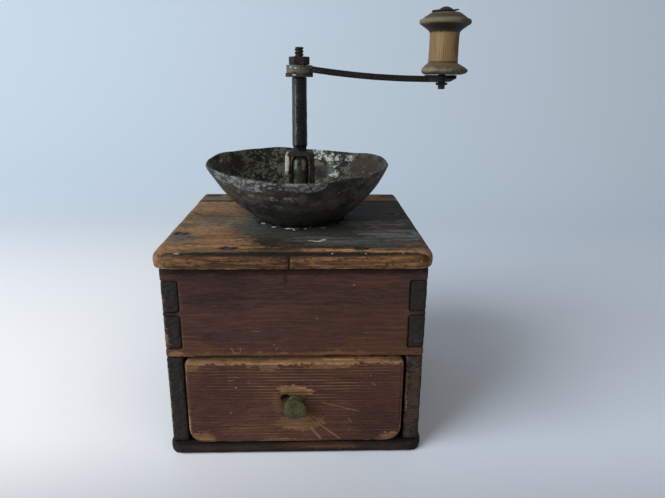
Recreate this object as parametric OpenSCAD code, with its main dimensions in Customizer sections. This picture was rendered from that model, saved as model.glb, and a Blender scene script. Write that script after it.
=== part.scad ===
// Hand-cranked box coffee mill: a finger-jointed pine box with a drawer, a raised iron hopper bowl,
// a spindle with a conical burr, and a bent crank with a turned spool handle.
// Millimetres. The origin is the centre of the underside, the drawer faces -Y and +Z is up.

/* [Box] */
// Outside width across the two side boards
body_w = 145; // [135:1:165]
// Outside depth from the front board to the back board
body_d = 152; // [144:1:175]
// Height of the walls above the base board
wall_h = 108.5; // [105:0.5:125]
// Thickness of the side boards
side_t = 9.5; // [7:0.5:12]
// Thickness of the upper front board
front_t = 12; // [9:0.5:15]
// Thickness of the back board
back_t = 9.5; // [7:0.5:12]
// Height of the drawer opening above the base board
opening_h = 54.9; // [48:0.1:56]

/* [Corner joints] */
// Height of the finger along the top of the front and back boards
finger_top_h = 7.8; // [5:0.1:10]
// Height of the finger along the lower edge of the front and back boards
finger_low_h = 5.4; // [4:0.1:8]
// Height of each thin pin between two tails
pin_h = 2.2; // [1.5:0.1:4]
// Height of the side board's tail below the upper pin
tail_h = 20; // [16:0.5:24]

/* [Base board] */
// Thickness of the base board
base_t = 6; // [5:0.5:9]
// Length that the base board stands out in front of the box
base_lip = 3.5; // [2.5:0.1:6]
// Length that the base board stands out at each side and at the back
base_side_lip = 1.8; // [0:0.1:3]
// Plan radius of the base board's corners
base_corner_r = 9; // [4:0.5:12]
// Radius worn on the front edge of the base board
base_edge_r = 2; // [1:0.1:2.4]

/* [Top board] */
// Thickness of the top boards
top_t = 8.5; // [7.5:0.1:12]
// Overhang of the top in front of the box
top_front_over = 4.4; // [2:0.1:8]
// Overhang of the top behind the box
top_back_over = 5.6; // [2:0.1:8]
// Overhang of the top at each side
top_side_over = 4; // [2.5:0.1:8]
// Sideways offset of the top on the box
top_shift = -0.5; // [-2:0.1:2]
// Depth of the separate strip along the back of the top
strip_d = 30; // [24:0.5:34]
// Open joint between the main top board and the strip
strip_gap = 0.5; // [0.3:0.1:1.2]
// Plan radius of the top's front corners
top_corner_r = 13; // [8:0.5:16]
// Plan radius of the strip's back corners
strip_corner_r = 3.5; // [2:0.5:8]
// Radius rounded on the upper edges of the top
top_edge_r = 4.5; // [3:0.1:6]
// Width of the quirk groove scratched along the front moulding
quirk_w = 1.3; // [0.8:0.1:2]
// Depth of the quirk groove
quirk_d = 1.1; // [0.6:0.1:1.6]

/* [Drawer] */
// Gap between the drawer and each side of its opening
drawer_clear = 1; // [0.6:0.1:2]
// Sideways offset of the drawer in its opening
drawer_shift = -0.4; // [-0.5:0.1:0.5]
// Length that the drawer front stands proud of the box
drawer_proud = 2; // [0:0.1:2.4]
// Gap above the drawer front
drawer_top_gap = 0.8; // [0.5:0.1:2]
// Running gap under the drawer
drawer_floor_gap = 0.3; // [0.2:0.1:0.6]
// Gap between the drawer and the back board
drawer_back_gap = 1.5; // [1:0.1:4]
// Thickness of the drawer front
drawer_front_t = 12; // [10:0.5:16]
// Thickness of the drawer sides and back
drawer_wall_t = 6; // [5:0.5:8]
// Thickness of the drawer bottom
drawer_bottom_t = 4; // [3:0.5:6]
// Height of the drawer sides
drawer_wall_h = 43; // [34:0.5:44]
// Radius of the drawer front's lower corners
drawer_low_r = 9; // [5:0.5:12]
// Radius of the drawer front's upper corners
drawer_high_r = 3.5; // [2.8:0.1:6]
// Radius worn on the drawer front's face edges
drawer_edge_r = 2.2; // [1:0.1:2.6]
// Diameter of the drawer knob's head
drawer_knob_dia = 12.6; // [10:0.1:16]
// Length that the drawer knob stands out from the drawer front
drawer_knob_len = 9; // [8:0.5:14]
// Diameter of the drawer knob's stem
drawer_stem_dia = 4.4; // [3.6:0.1:5]

/* [Hopper bowl] */
// Sideways place of the mill axis from the middle of the box
mill_x = 1.5; // [-4:0.5:4]
// Place of the mill axis in depth from the middle of the box
mill_y = 1; // [-4:0.5:4]
// Radius of the bowl's flat foot
foot_r = 25.5; // [25:0.1:28]
// Radius of the bowl at its rim
rim_r = 58.9; // [54:0.1:64]
// Height of the bowl's rim above the top, midway between front and back
bowl_h = 35.4; // [32:0.1:37]
// Bulge of the bowl's wall outside a straight cone
bowl_bulge = 3.7; // [2.5:0.1:5]
// Thickness of the bowl's sheet iron
sheet_t = 1.5; // [1:0.1:2]
// Slope of the hand-cut rim, lower at the front, in degrees
rim_tilt = 2; // [0:0.1:3]
// Radius of the throat that lets the beans through
throat_r = 15; // [13:0.5:16]

/* [Bearing bridge] */
// Height of the bridge's top above the top board
bridge_h = 44; // [40:0.5:50]
// Half width of the bridge at its top
bridge_top_half = 9.2; // [8.8:0.1:11]
// Half width of the bridge where its legs meet its feet
bridge_low_half = 10.6; // [10:0.1:12.5]
// Half length of the bridge over its feet
bridge_foot_half = 23.4; // [23.3:0.1:24]
// Thickness of the bridge's strap iron
bridge_t = 3.2; // [2.5:0.1:3.4]
// Width of the bridge's strap iron
bridge_w = 14; // [12:0.5:17]

/* [Spindle and burrs] */
// Diameter of the spindle's shaft at its lower end, above the bridge
spindle_dia = 9.9; // [9.4:0.1:11]
// Diameter of the spindle's shaft under the crank's collar
spindle_top_dia = 9.5; // [9.4:0.1:10.4]
// Diameter of the spindle's neck, which turns in the bridge
spindle_neck_dia = 8.6; // [8.6:0.1:9.2]
// Height of the shaft's shoulder above the bridge
shoulder_h = 3.2; // [2:0.1:5]
// Diameter of the spindle inside the cone burr
burr_seat_dia = 8; // [7:0.1:8.4]
// Diameter of the spindle's foot in the step cup
journal_dia = 6; // [5:0.1:6.6]
// Height of the crank seat above the top board
crank_seat_h = 88.7; // [80:0.1:105]
// Radius of the ring burr's teeth at its lower edge
ring_low_r = 18; // [17:0.1:18.5]
// Length of the ring burr below the top board
ring_len = 24.5; // [22:0.5:27]
// Depth of the teeth cut in the ring burr
ring_tooth = 1.6; // [1:0.1:2]
// Number of teeth in the ring burr
ring_teeth = 16; // [10:1:20]
// Running gap between the burrs at their lower edges
burr_gap = 0.6; // [0.5:0.05:1]
// Height of the cone burr's toothed part
cone_h = 21; // [18:0.5:22]
// Radius of the cone burr at its top
cone_top_r = 6.4; // [6:0.1:7.5]
// Depth of the cone burr's teeth at its lower edge
cone_tooth = 1.9; // [1:0.1:2.4]
// Number of coarse blades on the cone burr
cone_blades = 8; // [5:1:10]
// Number of fine teeth round the foot of the cone burr
cone_fine_teeth = 24; // [16:1:28]

/* [Grind adjuster] */
// Diameter of the adjuster screw
adjuster_dia = 6; // [5:0.1:7]
// Thickness of the step bar
step_bar_t = 4; // [3:0.1:5]
// Width of the step bar
step_bar_w = 12; // [10:0.5:16]
// Height of the step cup
cup_h = 8; // [7:0.5:9]
// Span across the adjuster's wings
wing_span = 20; // [16:0.5:26]
// Height of the adjuster's wings
wing_h = 8; // [6:0.5:9]

/* [Crank] */
// Distance from the spindle to the handle bolt
crank_r = 88.2; // [75:0.1:110]
// Radius of the crank's hub
hub_r = 8; // [7:0.1:10]
// Height of the crank's hub
hub_h = 5.1; // [4.4:0.1:6.5]
// Thickness of the crank arm
arm_t = 3.9; // [3:0.1:4.2]
// Width of the crank arm beside the hub
arm_hub_w = 9.5; // [8:0.1:12]
// Width of the crank arm beside the handle
arm_eye_w = 8; // [7:0.1:10]
// Radius of the crank's eye under the handle
eye_r = 9; // [6.5:0.1:10]
// Radius of the arm's bow
bow_r = 500; // [400:10:900]
// Distance from the spindle to the lowest point of the bow
bow_low_x = 78; // [60:1:90]
// Radius of the collar under the crank
collar_r = 8.5; // [7.5:0.1:10]
// Thickness of the collar
collar_t = 2; // [1.5:0.1:3.5]
// Width of the spindle's square under the crank
square_w = 6.4; // [5.6:0.1:6.6]
// Diameter of the spindle's threaded end
thread_dia = 5.6; // [5:0.1:6]
// Length of thread above the crank nut
thread_tail = 5.4; // [3:0.1:8]
// Height of the crank nut
nut_h = 4.9; // [4:0.1:6]
// Width across the corners of the crank nut
nut_corners = 13; // [11.5:0.1:14.5]

/* [Handle] */
// Height of the spool handle
spool_h = 36; // [32:0.5:44]
// Radius of the spool's neck
spool_neck_r = 9.1; // [8:0.1:11]
// Radius of the spool's upper flange
spool_top_r = 15.8; // [14:0.1:18]
// Radius of the spool's lower flange
spool_low_r = 15.6; // [13:0.1:17]
// Radius of the spool's flat foot under the lower flange
spool_foot_r = 9; // [8:0.1:11]
// Diameter of the handle bolt
bolt_dia = 4.5; // [4:0.1:5]
// Radius of the handle bolt's domed head
bolt_head_r = 4.7; // [3.5:0.1:5.2]
// Height of the handle bolt's domed head
bolt_head_h = 2.3; // [1.5:0.1:3]
// Radius of the washer on top of the spool
washer_r = 8.1; // [6:0.1:9]
// Thickness of the washer on top of the spool
washer_t = 0.8; // [0.6:0.1:1.5]

/* [Fasteners] */
// Diameter of the box nails
nail_dia = 2.2; // [1.6:0.1:2.6]
// Length of the box nails
nail_len = 26; // [20:1:30]
// Diameter of the box nails' heads
nail_head_dia = 4.6; // [3.6:0.1:5.6]
// Diameter of the drawer pins
drawer_pin_dia = 1.4; // [1:0.1:1.8]
// Length of the drawer pins
drawer_pin_len = 11; // [10:0.5:14]
// Diameter of the wood screws in the mill
screw_dia = 3; // [2.4:0.1:3.4]
// Diameter of the wood screws' heads
screw_head_dia = 6; // [5:0.1:6.6]
// Number of tacks round the bowl's foot
tack_count = 6; // [4:1:8]
// Diameter of the tacks' heads
tack_head_dia = 4.4; // [3.4:0.1:4.8]

/* [Fits] */
// Radial clearance of a shaft that turns in a bore
running = 0.06; // [0.02:0.01:0.1]
// Radial clearance of a fastener in its hole
fastener_clear = 0.05; // [0.02:0.01:0.1]
// Face gap between pieces that turn or slide on each other
face_gap = 0.15; // [0.1:0.05:0.3]

/* [Hidden] */
$fn = 64;
tiny = 0.01;

// Box levels and inside faces
wall_top = base_t + wall_h;
top_z = wall_top + top_t;
front_z = base_t + opening_h;
inner_w = body_w - 2 * side_t;
front_y = -body_d / 2;
back_y = body_d / 2;

// Heights of the fingers on the front and back boards, as [low, high]
front_fingers = [
  [front_z, front_z + finger_low_h],
  [front_z + finger_low_h + tail_h, front_z + finger_low_h + tail_h + pin_h],
  [wall_top - finger_top_h, wall_top],
];
low_pin_z = (base_t + finger_low_h + front_z - pin_h) / 2;
back_fingers = concat([[base_t, base_t + finger_low_h], [low_pin_z, low_pin_z + pin_h]], front_fingers);

// Top board outline
top_x0 = -body_w / 2 - top_side_over + top_shift;
top_x1 = body_w / 2 + top_side_over + top_shift;
top_y0 = front_y - top_front_over;
top_y1 = back_y + top_back_over;
strip_y = top_y1 - strip_d;
quirk_inset = top_edge_r * 0.75;
quirk_end = 14;
edge_steps = 5;
least_corner_r = 0.3;

// Nail places on the top, from the boards that hold them
side_nail_x = body_w / 2 - side_t / 2;
front_nail_y = front_y + front_t * 0.7;
back_nail_y = back_y - back_t / 2;
front_nail_x = 36;
side_nail_y = [-38, 12];
nail_head_h = 0.9;
nail_sink = 0.3;
top_nail_spots = concat(
  [for (x = [-front_nail_x, front_nail_x]) [x, front_nail_y]],
  [for (x = [-side_nail_x, side_nail_x], y = side_nail_y) [x, y]],
  [for (x = [-side_nail_x, -front_nail_x, front_nail_x, side_nail_x]) [x, back_nail_y]]);
base_nail_y = [-50, 0, 50];
base_nail_spots = concat(
  [for (x = [-side_nail_x, side_nail_x], y = base_nail_y) [x, y]],
  [for (x = [-front_nail_x, front_nail_x]) [x, back_nail_y]]);

// Drawer
drawer_w = inner_w - 2 * drawer_clear;
drawer_z = base_t + drawer_floor_gap;
drawer_front_h = opening_h - drawer_floor_gap - drawer_top_gap;
drawer_face_y = front_y - drawer_proud;
drawer_back_y = back_y - back_t - drawer_back_gap;
drawer_rebate = drawer_front_t / 2;
drawer_wall_y = drawer_face_y + drawer_front_t - drawer_rebate;
drawer_wall_inset = 0.5;
drawer_wall_x = drawer_w / 2 - drawer_wall_inset;
drawer_bottom_z = drawer_z + 1.2;
drawer_mid_z = drawer_z + drawer_front_h / 2;
drawer_pin_head_h = 0.5;
bottom_pin_y = [-30, 25];
drawer_pin_spots = concat(
  [for (h = [0.3, 0.75]) [drawer_wall_y + drawer_rebate / 2, drawer_z + drawer_wall_h * h]],
  [for (h = [0.3, 0.75]) [drawer_back_y - drawer_wall_t / 2, drawer_z + drawer_wall_h * h]],
  [for (y = bottom_pin_y) [y, drawer_bottom_z + drawer_bottom_t / 2]]);
knob_nut_h = 2.4;
knob_nut_w = 8;
drawer_stem_len = drawer_front_t + knob_nut_h + 1.2;

// Bowl wall: the circle through the foot and the rim that bulges by bowl_bulge
bowl_run = rim_r - foot_r;
bowl_chord = sqrt(bowl_run ^ 2 + bowl_h ^ 2);
bowl_arc_r = bowl_chord ^ 2 / (8 * bowl_bulge) + bowl_bulge / 2;
bowl_arc_x = (foot_r + rim_r) / 2 - (bowl_arc_r - bowl_bulge) * bowl_h / bowl_chord;
bowl_arc_z = top_z + bowl_h / 2 + (bowl_arc_r - bowl_bulge) * bowl_run / bowl_chord;
bowl_spare_h = rim_r * tan(rim_tilt) + 2;
floor_z = top_z + sheet_t;
tack_r = foot_r + tack_head_dia;
tack_start = -92;
tack_len = 6.5;
tack_head_h = 1.1;
tack_shank_r = 0.7;

// Bridge and the screws that hold it and the bowl
bridge_z = top_z + bridge_h;
bridge_bend_r = 3;
shaft_z = bridge_z + shoulder_h;
floor_screw_r = (throat_r + foot_r) / 2;
screw_head_h = 1.9;
hopper_screw_len = top_t - 1.5 + sheet_t;
bridge_screw_len = hopper_screw_len + bridge_t;

// Ring burr, step bar, step cup and adjuster, from the top downwards
ring_z = wall_top - ring_len;
flange_t = 4;
flange_z = wall_top - flange_t;
ring_wall = 3.4;
barrel_r = ring_low_r + ring_tooth + ring_wall;
ring_screw_r = barrel_r + screw_head_dia / 2 + 3.5;
flange_r = ring_screw_r + screw_head_dia / 2 + 1;
flange_screw_len = flange_t + top_t - 2;
ring_twist = -24;
ear_t = 3;
ear_screw_len = flange_screw_len + ear_t;
step_leg_x = barrel_r + 0.4;
ear_half = flange_r + 1;
cone_low_r = ring_low_r - (ring_low_r - throat_r) / ring_len - burr_gap;
cone_z = ring_z + 1;
cone_top_z = cone_z + cone_h;
cone_fine_h = cone_h / 4;
cone_fine_top_r = cone_low_r + (cone_top_r - cone_low_r) * cone_fine_h / cone_h;
cone_twist = 75;
blade_depth = cone_tooth * 1.7;
collar_hub_r = burr_seat_dia / 2 + 3;
collar_hub_h = 5;
burr_pin_dia = 2.4;
burr_pin_z = cone_z - collar_hub_h / 2;
journal_top_z = cone_z - collar_hub_h - 1;
journal_in = cup_h / 2;
journal_z = journal_top_z - 1 - journal_in;
cup_top_z = journal_z + journal_in;
cup_z = cup_top_z - cup_h + face_gap;
cup_r = journal_dia / 2 + 2.6;
spigot_r = 2;
spigot_h = 2.4;
step_boss_r = adjuster_dia / 2 + step_bar_t;
step_boss_h = step_bar_t * 1.75;
cup_drop = 2.5;
shoulder_drop = 3.5;
step_bar_z = cup_z - step_boss_h - cup_drop;
adjuster_shoulder_z = step_bar_z - shoulder_drop;
adjuster_tip_z = cup_z - face_gap;
wing_t = 3;

// Crank levels
collar_z = top_z + crank_seat_h;
hub_z = collar_z + collar_t;
nut_z = hub_z + hub_h;
thread_top_z = nut_z + nut_h + thread_tail;
thread_lead = 0.6;
hub_mid_z = hub_z + hub_h / 2;
bow_z = hub_mid_z + sqrt(bow_r ^ 2 - (hub_r - bow_low_x) ^ 2);
function arm_z(x) = bow_z - sqrt(bow_r ^ 2 - (x - bow_low_x) ^ 2);

// Handle levels
bolt_nut_r = 3.8;
bolt_nut_h = 1.8;
bolt_tail = 2.4;
spool_z = max(arm_z(crank_r + eye_r), arm_z(crank_r - spool_foot_r)) + arm_t / 2 + face_gap;
washer_z = spool_z + spool_h + face_gap;
bolt_head_z = washer_z + washer_t;
bolt_nut_z = min(arm_z(crank_r - bolt_nut_r), arm_z(crank_r + bolt_nut_r)) - arm_t / 2 - bolt_nut_h;
spool_low_h = 7;
spool_top_h = 11.1;
crown_inset = 7.8;

// Finishes
pine_red = [0.27, 0.16, 0.14];
pine_bare = [0.52, 0.36, 0.22];
pine_dark = [0.20, 0.15, 0.12];
pine_inside = [0.60, 0.46, 0.30];
iron_dark = [0.17, 0.16, 0.15];
iron_grey = [0.33, 0.32, 0.30];
bowl_grey = [0.27, 0.26, 0.23];
brass_green = [0.30, 0.32, 0.20];
spool_tan = [0.60, 0.48, 0.31];

// Shared shapes

module at_mill() {
  translate([mill_x, mill_y, 0]) children();
}

module at_handle() {
  at_mill() translate([crank_r, 0, 0]) children();
}

// A rectangle with round corners, as exact arcs
module round_rect(x0, x1, y0, y1, r) {
  translate([x0 + r, y0]) square([x1 - x0 - 2 * r, y1 - y0]);
  translate([x0, y0 + r]) square([x1 - x0, y1 - y0 - 2 * r]);
  for (x = [x0 + r, x1 - r], y = [y0 + r, y1 - r]) translate([x, y]) circle(r);
}

// A round bar, d across, that stands from height z
module bar(d, z, h) {
  translate([0, 0, z]) cylinder(d = d, h = h);
}

// A square bar, w across, that stands from height z
module square_bar(w, z, h) {
  translate([-w / 2, -w / 2, z]) cube([w, w, h]);
}

// A domed disc with its flat face on z = 0
module dome(r, h) {
  ball_r = (r ^ 2 + h ^ 2) / (2 * h);
  rotate_extrude() intersection() {
    translate([0, h - ball_r]) circle(ball_r);
    square([r, h]);
  }
}

// A wire nail with its flat head's top on z = 0, pointing down
module nail(d, length, head_d, head_h) {
  translate([0, 0, -head_h]) cylinder(d = head_d, h = head_h);
  translate([0, 0, -length]) cylinder(d1 = d * 0.3, d2 = d, h = 2 * d);
  translate([0, 0, 2 * d - length]) cylinder(d = d, h = length - 2 * d - head_h + tiny);
}

// The hole that a nail leaves, open for a sunk head
module nail_hole(d, length, head_d, head_h, sink) {
  translate([0, 0, -head_h]) cylinder(d = head_d + 2 * fastener_clear, h = head_h + sink + 1);
  translate([0, 0, -length - fastener_clear]) cylinder(d = d + 2 * fastener_clear, h = length);
}

// A round-head wood screw seated on z = 0, pointing down, with a slotted head
module wood_screw(length) {
  difference() {
    dome(screw_head_dia / 2, screw_head_h);
    translate([-screw_head_dia, -0.4, screw_head_h - 0.8]) cube([2 * screw_head_dia, 0.8, 1]);
  }
  translate([0, 0, -length]) cylinder(d1 = 0.6, d2 = screw_dia, h = screw_dia);
  translate([0, 0, screw_dia - length]) cylinder(d = screw_dia, h = length - screw_dia + tiny);
}

module screw_hole(length) {
  translate([0, 0, -length - fastener_clear]) cylinder(d = screw_dia + 2 * fastener_clear, h = length + 1);
}

// Nails and screws at their places, used for the pieces and for their holes

module at_top_nails() {
  for (p = top_nail_spots) translate([p[0], p[1], top_z - nail_sink]) children();
}

module at_base_nails() {
  for (p = base_nail_spots) translate([p[0], p[1], nail_sink]) rotate([180, 0, 0]) children();
}

module box_nail() {
  nail(nail_dia, nail_len, nail_head_dia, nail_head_h);
}

module box_nail_holes() {
  at_top_nails() nail_hole(nail_dia, nail_len, nail_head_dia, nail_head_h, nail_sink);
  at_base_nails() nail_hole(nail_dia, nail_len, nail_head_dia, nail_head_h, nail_sink);
}

module at_hopper_screws() {
  at_mill() for (s = [-1, 1]) translate([0, s * floor_screw_r, floor_z]) children();
}

module at_bridge_screws() {
  at_mill() for (s = [-1, 1]) translate([s * floor_screw_r, 0, floor_z + bridge_t]) children();
}

// Two screws pass through the step bar's ears and two through the ring burr's flange alone
module at_ear_screws() {
  at_mill() for (a = [0, 180])
    rotate(a) translate([ring_screw_r, 0, flange_z - ear_t]) rotate([180, 0, 0]) children();
}

module at_flange_screws() {
  at_mill() for (a = [60, 240])
    rotate(a) translate([ring_screw_r, 0, flange_z]) rotate([180, 0, 0]) children();
}

module at_tacks() {
  at_mill() for (i = [0 : tack_count - 1])
    rotate(tack_start + i * 360 / tack_count) translate([tack_r, 0, top_z]) children();
}

module ring_screw_holes() {
  at_ear_screws() screw_hole(ear_screw_len);
  at_flange_screws() screw_hole(flange_screw_len);
}

module top_screw_holes() {
  at_hopper_screws() screw_hole(hopper_screw_len);
  at_bridge_screws() screw_hole(bridge_screw_len);
  ring_screw_holes();
  at_tacks() translate([0, 0, -tack_len - fastener_clear])
    cylinder(r = tack_shank_r + fastener_clear, h = tack_len + 1);
}

// Box

module base_board() {
  y0 = front_y - base_lip;
  y1 = back_y + base_side_lip;
  half_w = body_w / 2 + base_side_lip;
  color(pine_dark) difference() {
    intersection() {
      linear_extrude(base_t) round_rect(-half_w, half_w, y0, y1, base_corner_r);
      rotate([90, 0, 90]) translate([0, 0, -half_w]) linear_extrude(2 * half_w) {
        translate([y0, base_edge_r]) square([y1 - y0, base_t - 2 * base_edge_r]);
        translate([y0 + base_edge_r, 0]) square([y1 - y0 - base_edge_r, base_t]);
        for (z = [base_edge_r, base_t - base_edge_r]) translate([y0 + base_edge_r, z]) circle(base_edge_r);
      }
    }
    box_nail_holes();
  }
}

module side_board(s) {
  color(pine_dark) difference() {
    translate([s > 0 ? inner_w / 2 : -body_w / 2, front_y, base_t]) cube([side_t, body_d, wall_h]);
    for (f = front_fingers)
      translate([-body_w, front_y - 1, f[0]]) cube([2 * body_w, front_t + 1, f[1] - f[0]]);
    for (f = back_fingers)
      translate([-body_w, back_y - back_t, f[0]]) cube([2 * body_w, back_t + 1, f[1] - f[0]]);
    box_nail_holes();
  }
}

// A board between the sides, with fingers that reach through them
module fingered_board(y0, t, z0, fingers) {
  difference() {
    union() {
      translate([-inner_w / 2, y0, z0]) cube([inner_w, t, wall_top - z0]);
      for (f = fingers) translate([-body_w / 2, y0, f[0]]) cube([body_w, t, f[1] - f[0]]);
    }
    box_nail_holes();
  }
}

module front_board() {
  color(pine_red) fingered_board(front_y, front_t, front_z, front_fingers);
}

module back_board() {
  color(pine_red) fingered_board(back_y - back_t, back_t, base_t, back_fingers);
}

// A slab whose upper edges are rounded at the ends and along the front, or along the back
module moulded_slab(y0, y1, corner_r, round_front) {
  hull() for (i = [0 : edge_steps]) {
    a = 90 * i / edge_steps;
    inset = top_edge_r * (1 - cos(a));
    layer_top = top_z - top_edge_r * (1 - sin(a));
    layer_z = i == 0 ? wall_top : layer_top - tiny;
    layer_h = layer_top - layer_z;
    r = max(corner_r - inset, least_corner_r);
    round_y = round_front ? y0 + inset + r : y1 - inset - r;
    straight_y = round_front ? y1 - tiny : y0;
    for (x = [top_x0 + inset + r, top_x1 - inset - r])
      translate([x, round_y, layer_z]) cylinder(r = r, h = layer_h, $fn = 32);
    translate([top_x0 + inset, straight_y, layer_z]) cube([top_x1 - top_x0 - 2 * inset, tiny, layer_h]);
  }
}

module top_board() {
  color(pine_bare) difference() {
    moulded_slab(top_y0, strip_y - strip_gap, top_corner_r, true);
    translate([top_x0 + quirk_end, top_y0 + quirk_inset, top_z]) rotate([45, 0, 0])
      translate([0, -quirk_w / 2, -quirk_d - quirk_w / 2])
        cube([top_x1 - top_x0 - 2 * quirk_end, quirk_w, top_t]);
    at_mill() translate([0, 0, wall_top - 1]) cylinder(r = throat_r, h = top_t + 2);
    box_nail_holes();
    top_screw_holes();
  }
}

module top_back_strip() {
  color(pine_bare) difference() {
    moulded_slab(strip_y, top_y1, strip_corner_r, false);
    box_nail_holes();
  }
}

module top_nails() {
  color(iron_dark) at_top_nails() box_nail();
}

module base_nails() {
  color(iron_dark) at_base_nails() box_nail();
}

// Hopper and upper bearing

module hopper_bowl() {
  color(bowl_grey) difference() {
    at_mill() rotate_extrude() {
      difference() {
        intersection() {
          translate([bowl_arc_x, bowl_arc_z]) circle(bowl_arc_r);
          translate([0, top_z]) square([2 * rim_r, bowl_h + bowl_spare_h]);
        }
        intersection() {
          translate([bowl_arc_x, bowl_arc_z]) circle(bowl_arc_r - sheet_t);
          translate([-tiny, floor_z]) square([2 * rim_r, bowl_h + bowl_spare_h]);
        }
        translate([-tiny, top_z - 1]) square([throat_r, sheet_t + 2]);
      }
    }
    at_mill() translate([0, 0, top_z + bowl_h]) rotate([rim_tilt, 0, 0])
      translate([-2 * rim_r, -2 * rim_r, 0]) cube([4 * rim_r, 4 * rim_r, bowl_h]);
    top_screw_holes();
  }
}

module bowl_tacks() {
  color(iron_grey) at_tacks() {
    dome(tack_head_dia / 2, tack_head_h);
    translate([0, 0, -tack_len]) cylinder(r1 = 0.2, r2 = tack_shank_r, h = 2);
    translate([0, 0, 2 - tack_len]) cylinder(r = tack_shank_r, h = tack_len - 2 + tiny);
  }
}

module hopper_screws() {
  color(iron_grey) at_hopper_screws() wood_screw(hopper_screw_len);
}

// The outline of a bent strap: a tall trapezium with round upper corners
module bent_outline(top_half, low_half, z0, z1, r) {
  polygon([
    [-low_half, z0],
    [low_half, z0],
    [top_half, z1 - r],
    [top_half - r, z1],
    [r - top_half, z1],
    [-top_half, z1 - r],
  ]);
  for (s = [-1, 1]) translate([s * (top_half - r), z1 - r]) circle(r);
}

module bearing_bridge() {
  color(iron_grey) difference() {
    at_mill() rotate([90, 0, 0]) translate([0, 0, -bridge_w / 2]) linear_extrude(bridge_w) difference() {
      union() {
        bent_outline(bridge_top_half, bridge_low_half, floor_z, bridge_z, bridge_bend_r);
        translate([-bridge_foot_half, floor_z]) square([2 * bridge_foot_half, bridge_t]);
      }
      bent_outline(
        bridge_top_half - bridge_t, bridge_low_half - bridge_t, floor_z - 1, bridge_z - bridge_t,
        bridge_bend_r / 3);
    }
    at_mill() bar(spindle_neck_dia + 2 * running, bridge_z - 2 * bridge_t, 3 * bridge_t);
    at_bridge_screws() screw_hole(bridge_screw_len);
  }
}

module bridge_screws() {
  color(iron_grey) at_bridge_screws() wood_screw(bridge_screw_len);
}

// Grinding works

// Saw teeth round a circle: each rises steeply to its crest and falls back slowly
function saw_ring(count, crest_r, root_r) = [
  for (i = [0 : count - 1], p = [[0, root_r], [0.12, crest_r], [0.34, crest_r]])
    let (a = 360 * (i + p[0]) / count) [p[1] * cos(a), p[1] * sin(a)],
];

// A stretch of toothed cone that narrows and twists as it rises
module toothed_cone(z, h, count, low_r, top_r, tooth, twist, slices) {
  translate([0, 0, z]) linear_extrude(h, twist = twist, scale = top_r / low_r, slices = slices)
    polygon(saw_ring(count, low_r, low_r - tooth));
}

// The teeth are the hollows: a toothed cone is cut out of the barrel
module ring_burr() {
  color(iron_grey) difference() {
    at_mill() {
      bar(2 * barrel_r, ring_z, ring_len);
      bar(2 * flange_r, flange_z, flange_t);
    }
    at_mill() toothed_cone(ring_z - tiny, ring_len + 2 * tiny, ring_teeth, ring_low_r + ring_tooth,
      throat_r * (1 + ring_tooth / ring_low_r), ring_tooth, ring_twist, 8);
    ring_screw_holes();
  }
}

module ring_screws() {
  color(iron_dark) {
    at_ear_screws() wood_screw(ear_screw_len);
    at_flange_screws() wood_screw(flange_screw_len);
  }
}

// A U-shaped bar that hangs from the ring burr's flange and carries the adjuster under the spindle
module step_bar() {
  color(iron_grey) difference() {
    at_mill() {
      rotate([90, 0, 0]) translate([0, 0, -step_bar_w / 2]) linear_extrude(step_bar_w) {
        translate([-step_leg_x - ear_t, step_bar_z]) square([2 * (step_leg_x + ear_t), step_bar_t]);
        for (s = [0, 1]) mirror([s, 0]) {
          translate([step_leg_x, step_bar_z]) square([ear_t, flange_z - step_bar_z]);
          translate([step_leg_x, flange_z - ear_t]) square([ear_half - step_leg_x, ear_t]);
        }
      }
      bar(2 * step_boss_r, step_bar_z, step_boss_h);
    }
    at_mill() bar(adjuster_dia + 2 * running, step_bar_z - 1, step_boss_h + 2);
    ring_screw_holes();
  }
}

module step_cup() {
  color(iron_grey) at_mill() difference() {
    bar(2 * cup_r, cup_z, cup_top_z - cup_z);
    bar(journal_dia + 2 * running, journal_z - face_gap, cup_h);
    bar(2 * (spigot_r + running), cup_z - 1, spigot_h + face_gap + 1);
  }
}

module adjuster_screw() {
  wing_x = (wing_span - wing_h) / 2;
  wing_z = adjuster_shoulder_z - 1 - wing_h / 2;
  color(iron_dark) at_mill() {
    bar(adjuster_dia, adjuster_shoulder_z, adjuster_tip_z - adjuster_shoulder_z);
    bar(2 * spigot_r, adjuster_tip_z - tiny, spigot_h);
    bar(adjuster_dia + 3, adjuster_shoulder_z - 2, 2 + tiny);
    rotate([90, 0, 0]) linear_extrude(wing_t, center = true) {
      for (s = [-1, 1]) translate([s * wing_x, wing_z]) circle(wing_h / 2);
      translate([-wing_x, wing_z - wing_h * 0.3]) square([2 * wing_x, wing_h * 0.7]);
    }
  }
}

module spindle() {
  color(iron_dark) at_mill() difference() {
    union() {
      bar(journal_dia, journal_z, journal_top_z - journal_z + tiny);
      bar(burr_seat_dia, journal_top_z, cone_top_z - journal_top_z + tiny);
      bar(spindle_neck_dia, cone_top_z, shaft_z - cone_top_z + tiny);
      translate([0, 0, shaft_z]) cylinder(d1 = spindle_dia, d2 = spindle_top_dia, h = collar_z - shaft_z);
      square_bar(square_w, collar_z - tiny, nut_z - collar_z - 0.3);
      bar(thread_dia, nut_z - 1, thread_top_z - nut_z + 1 - thread_lead);
      translate([0, 0, thread_top_z - thread_lead - tiny])
        cylinder(d1 = thread_dia, d2 = thread_dia - 2 * thread_lead, h = thread_lead + tiny);
    }
    burr_pin_hole();
  }
}

module burr_pin_hole() {
  translate([0, 0, burr_pin_z]) rotate([90, 0, 0])
    cylinder(d = burr_pin_dia + 2 * fastener_clear, h = 3 * collar_hub_r, center = true);
}

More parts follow.
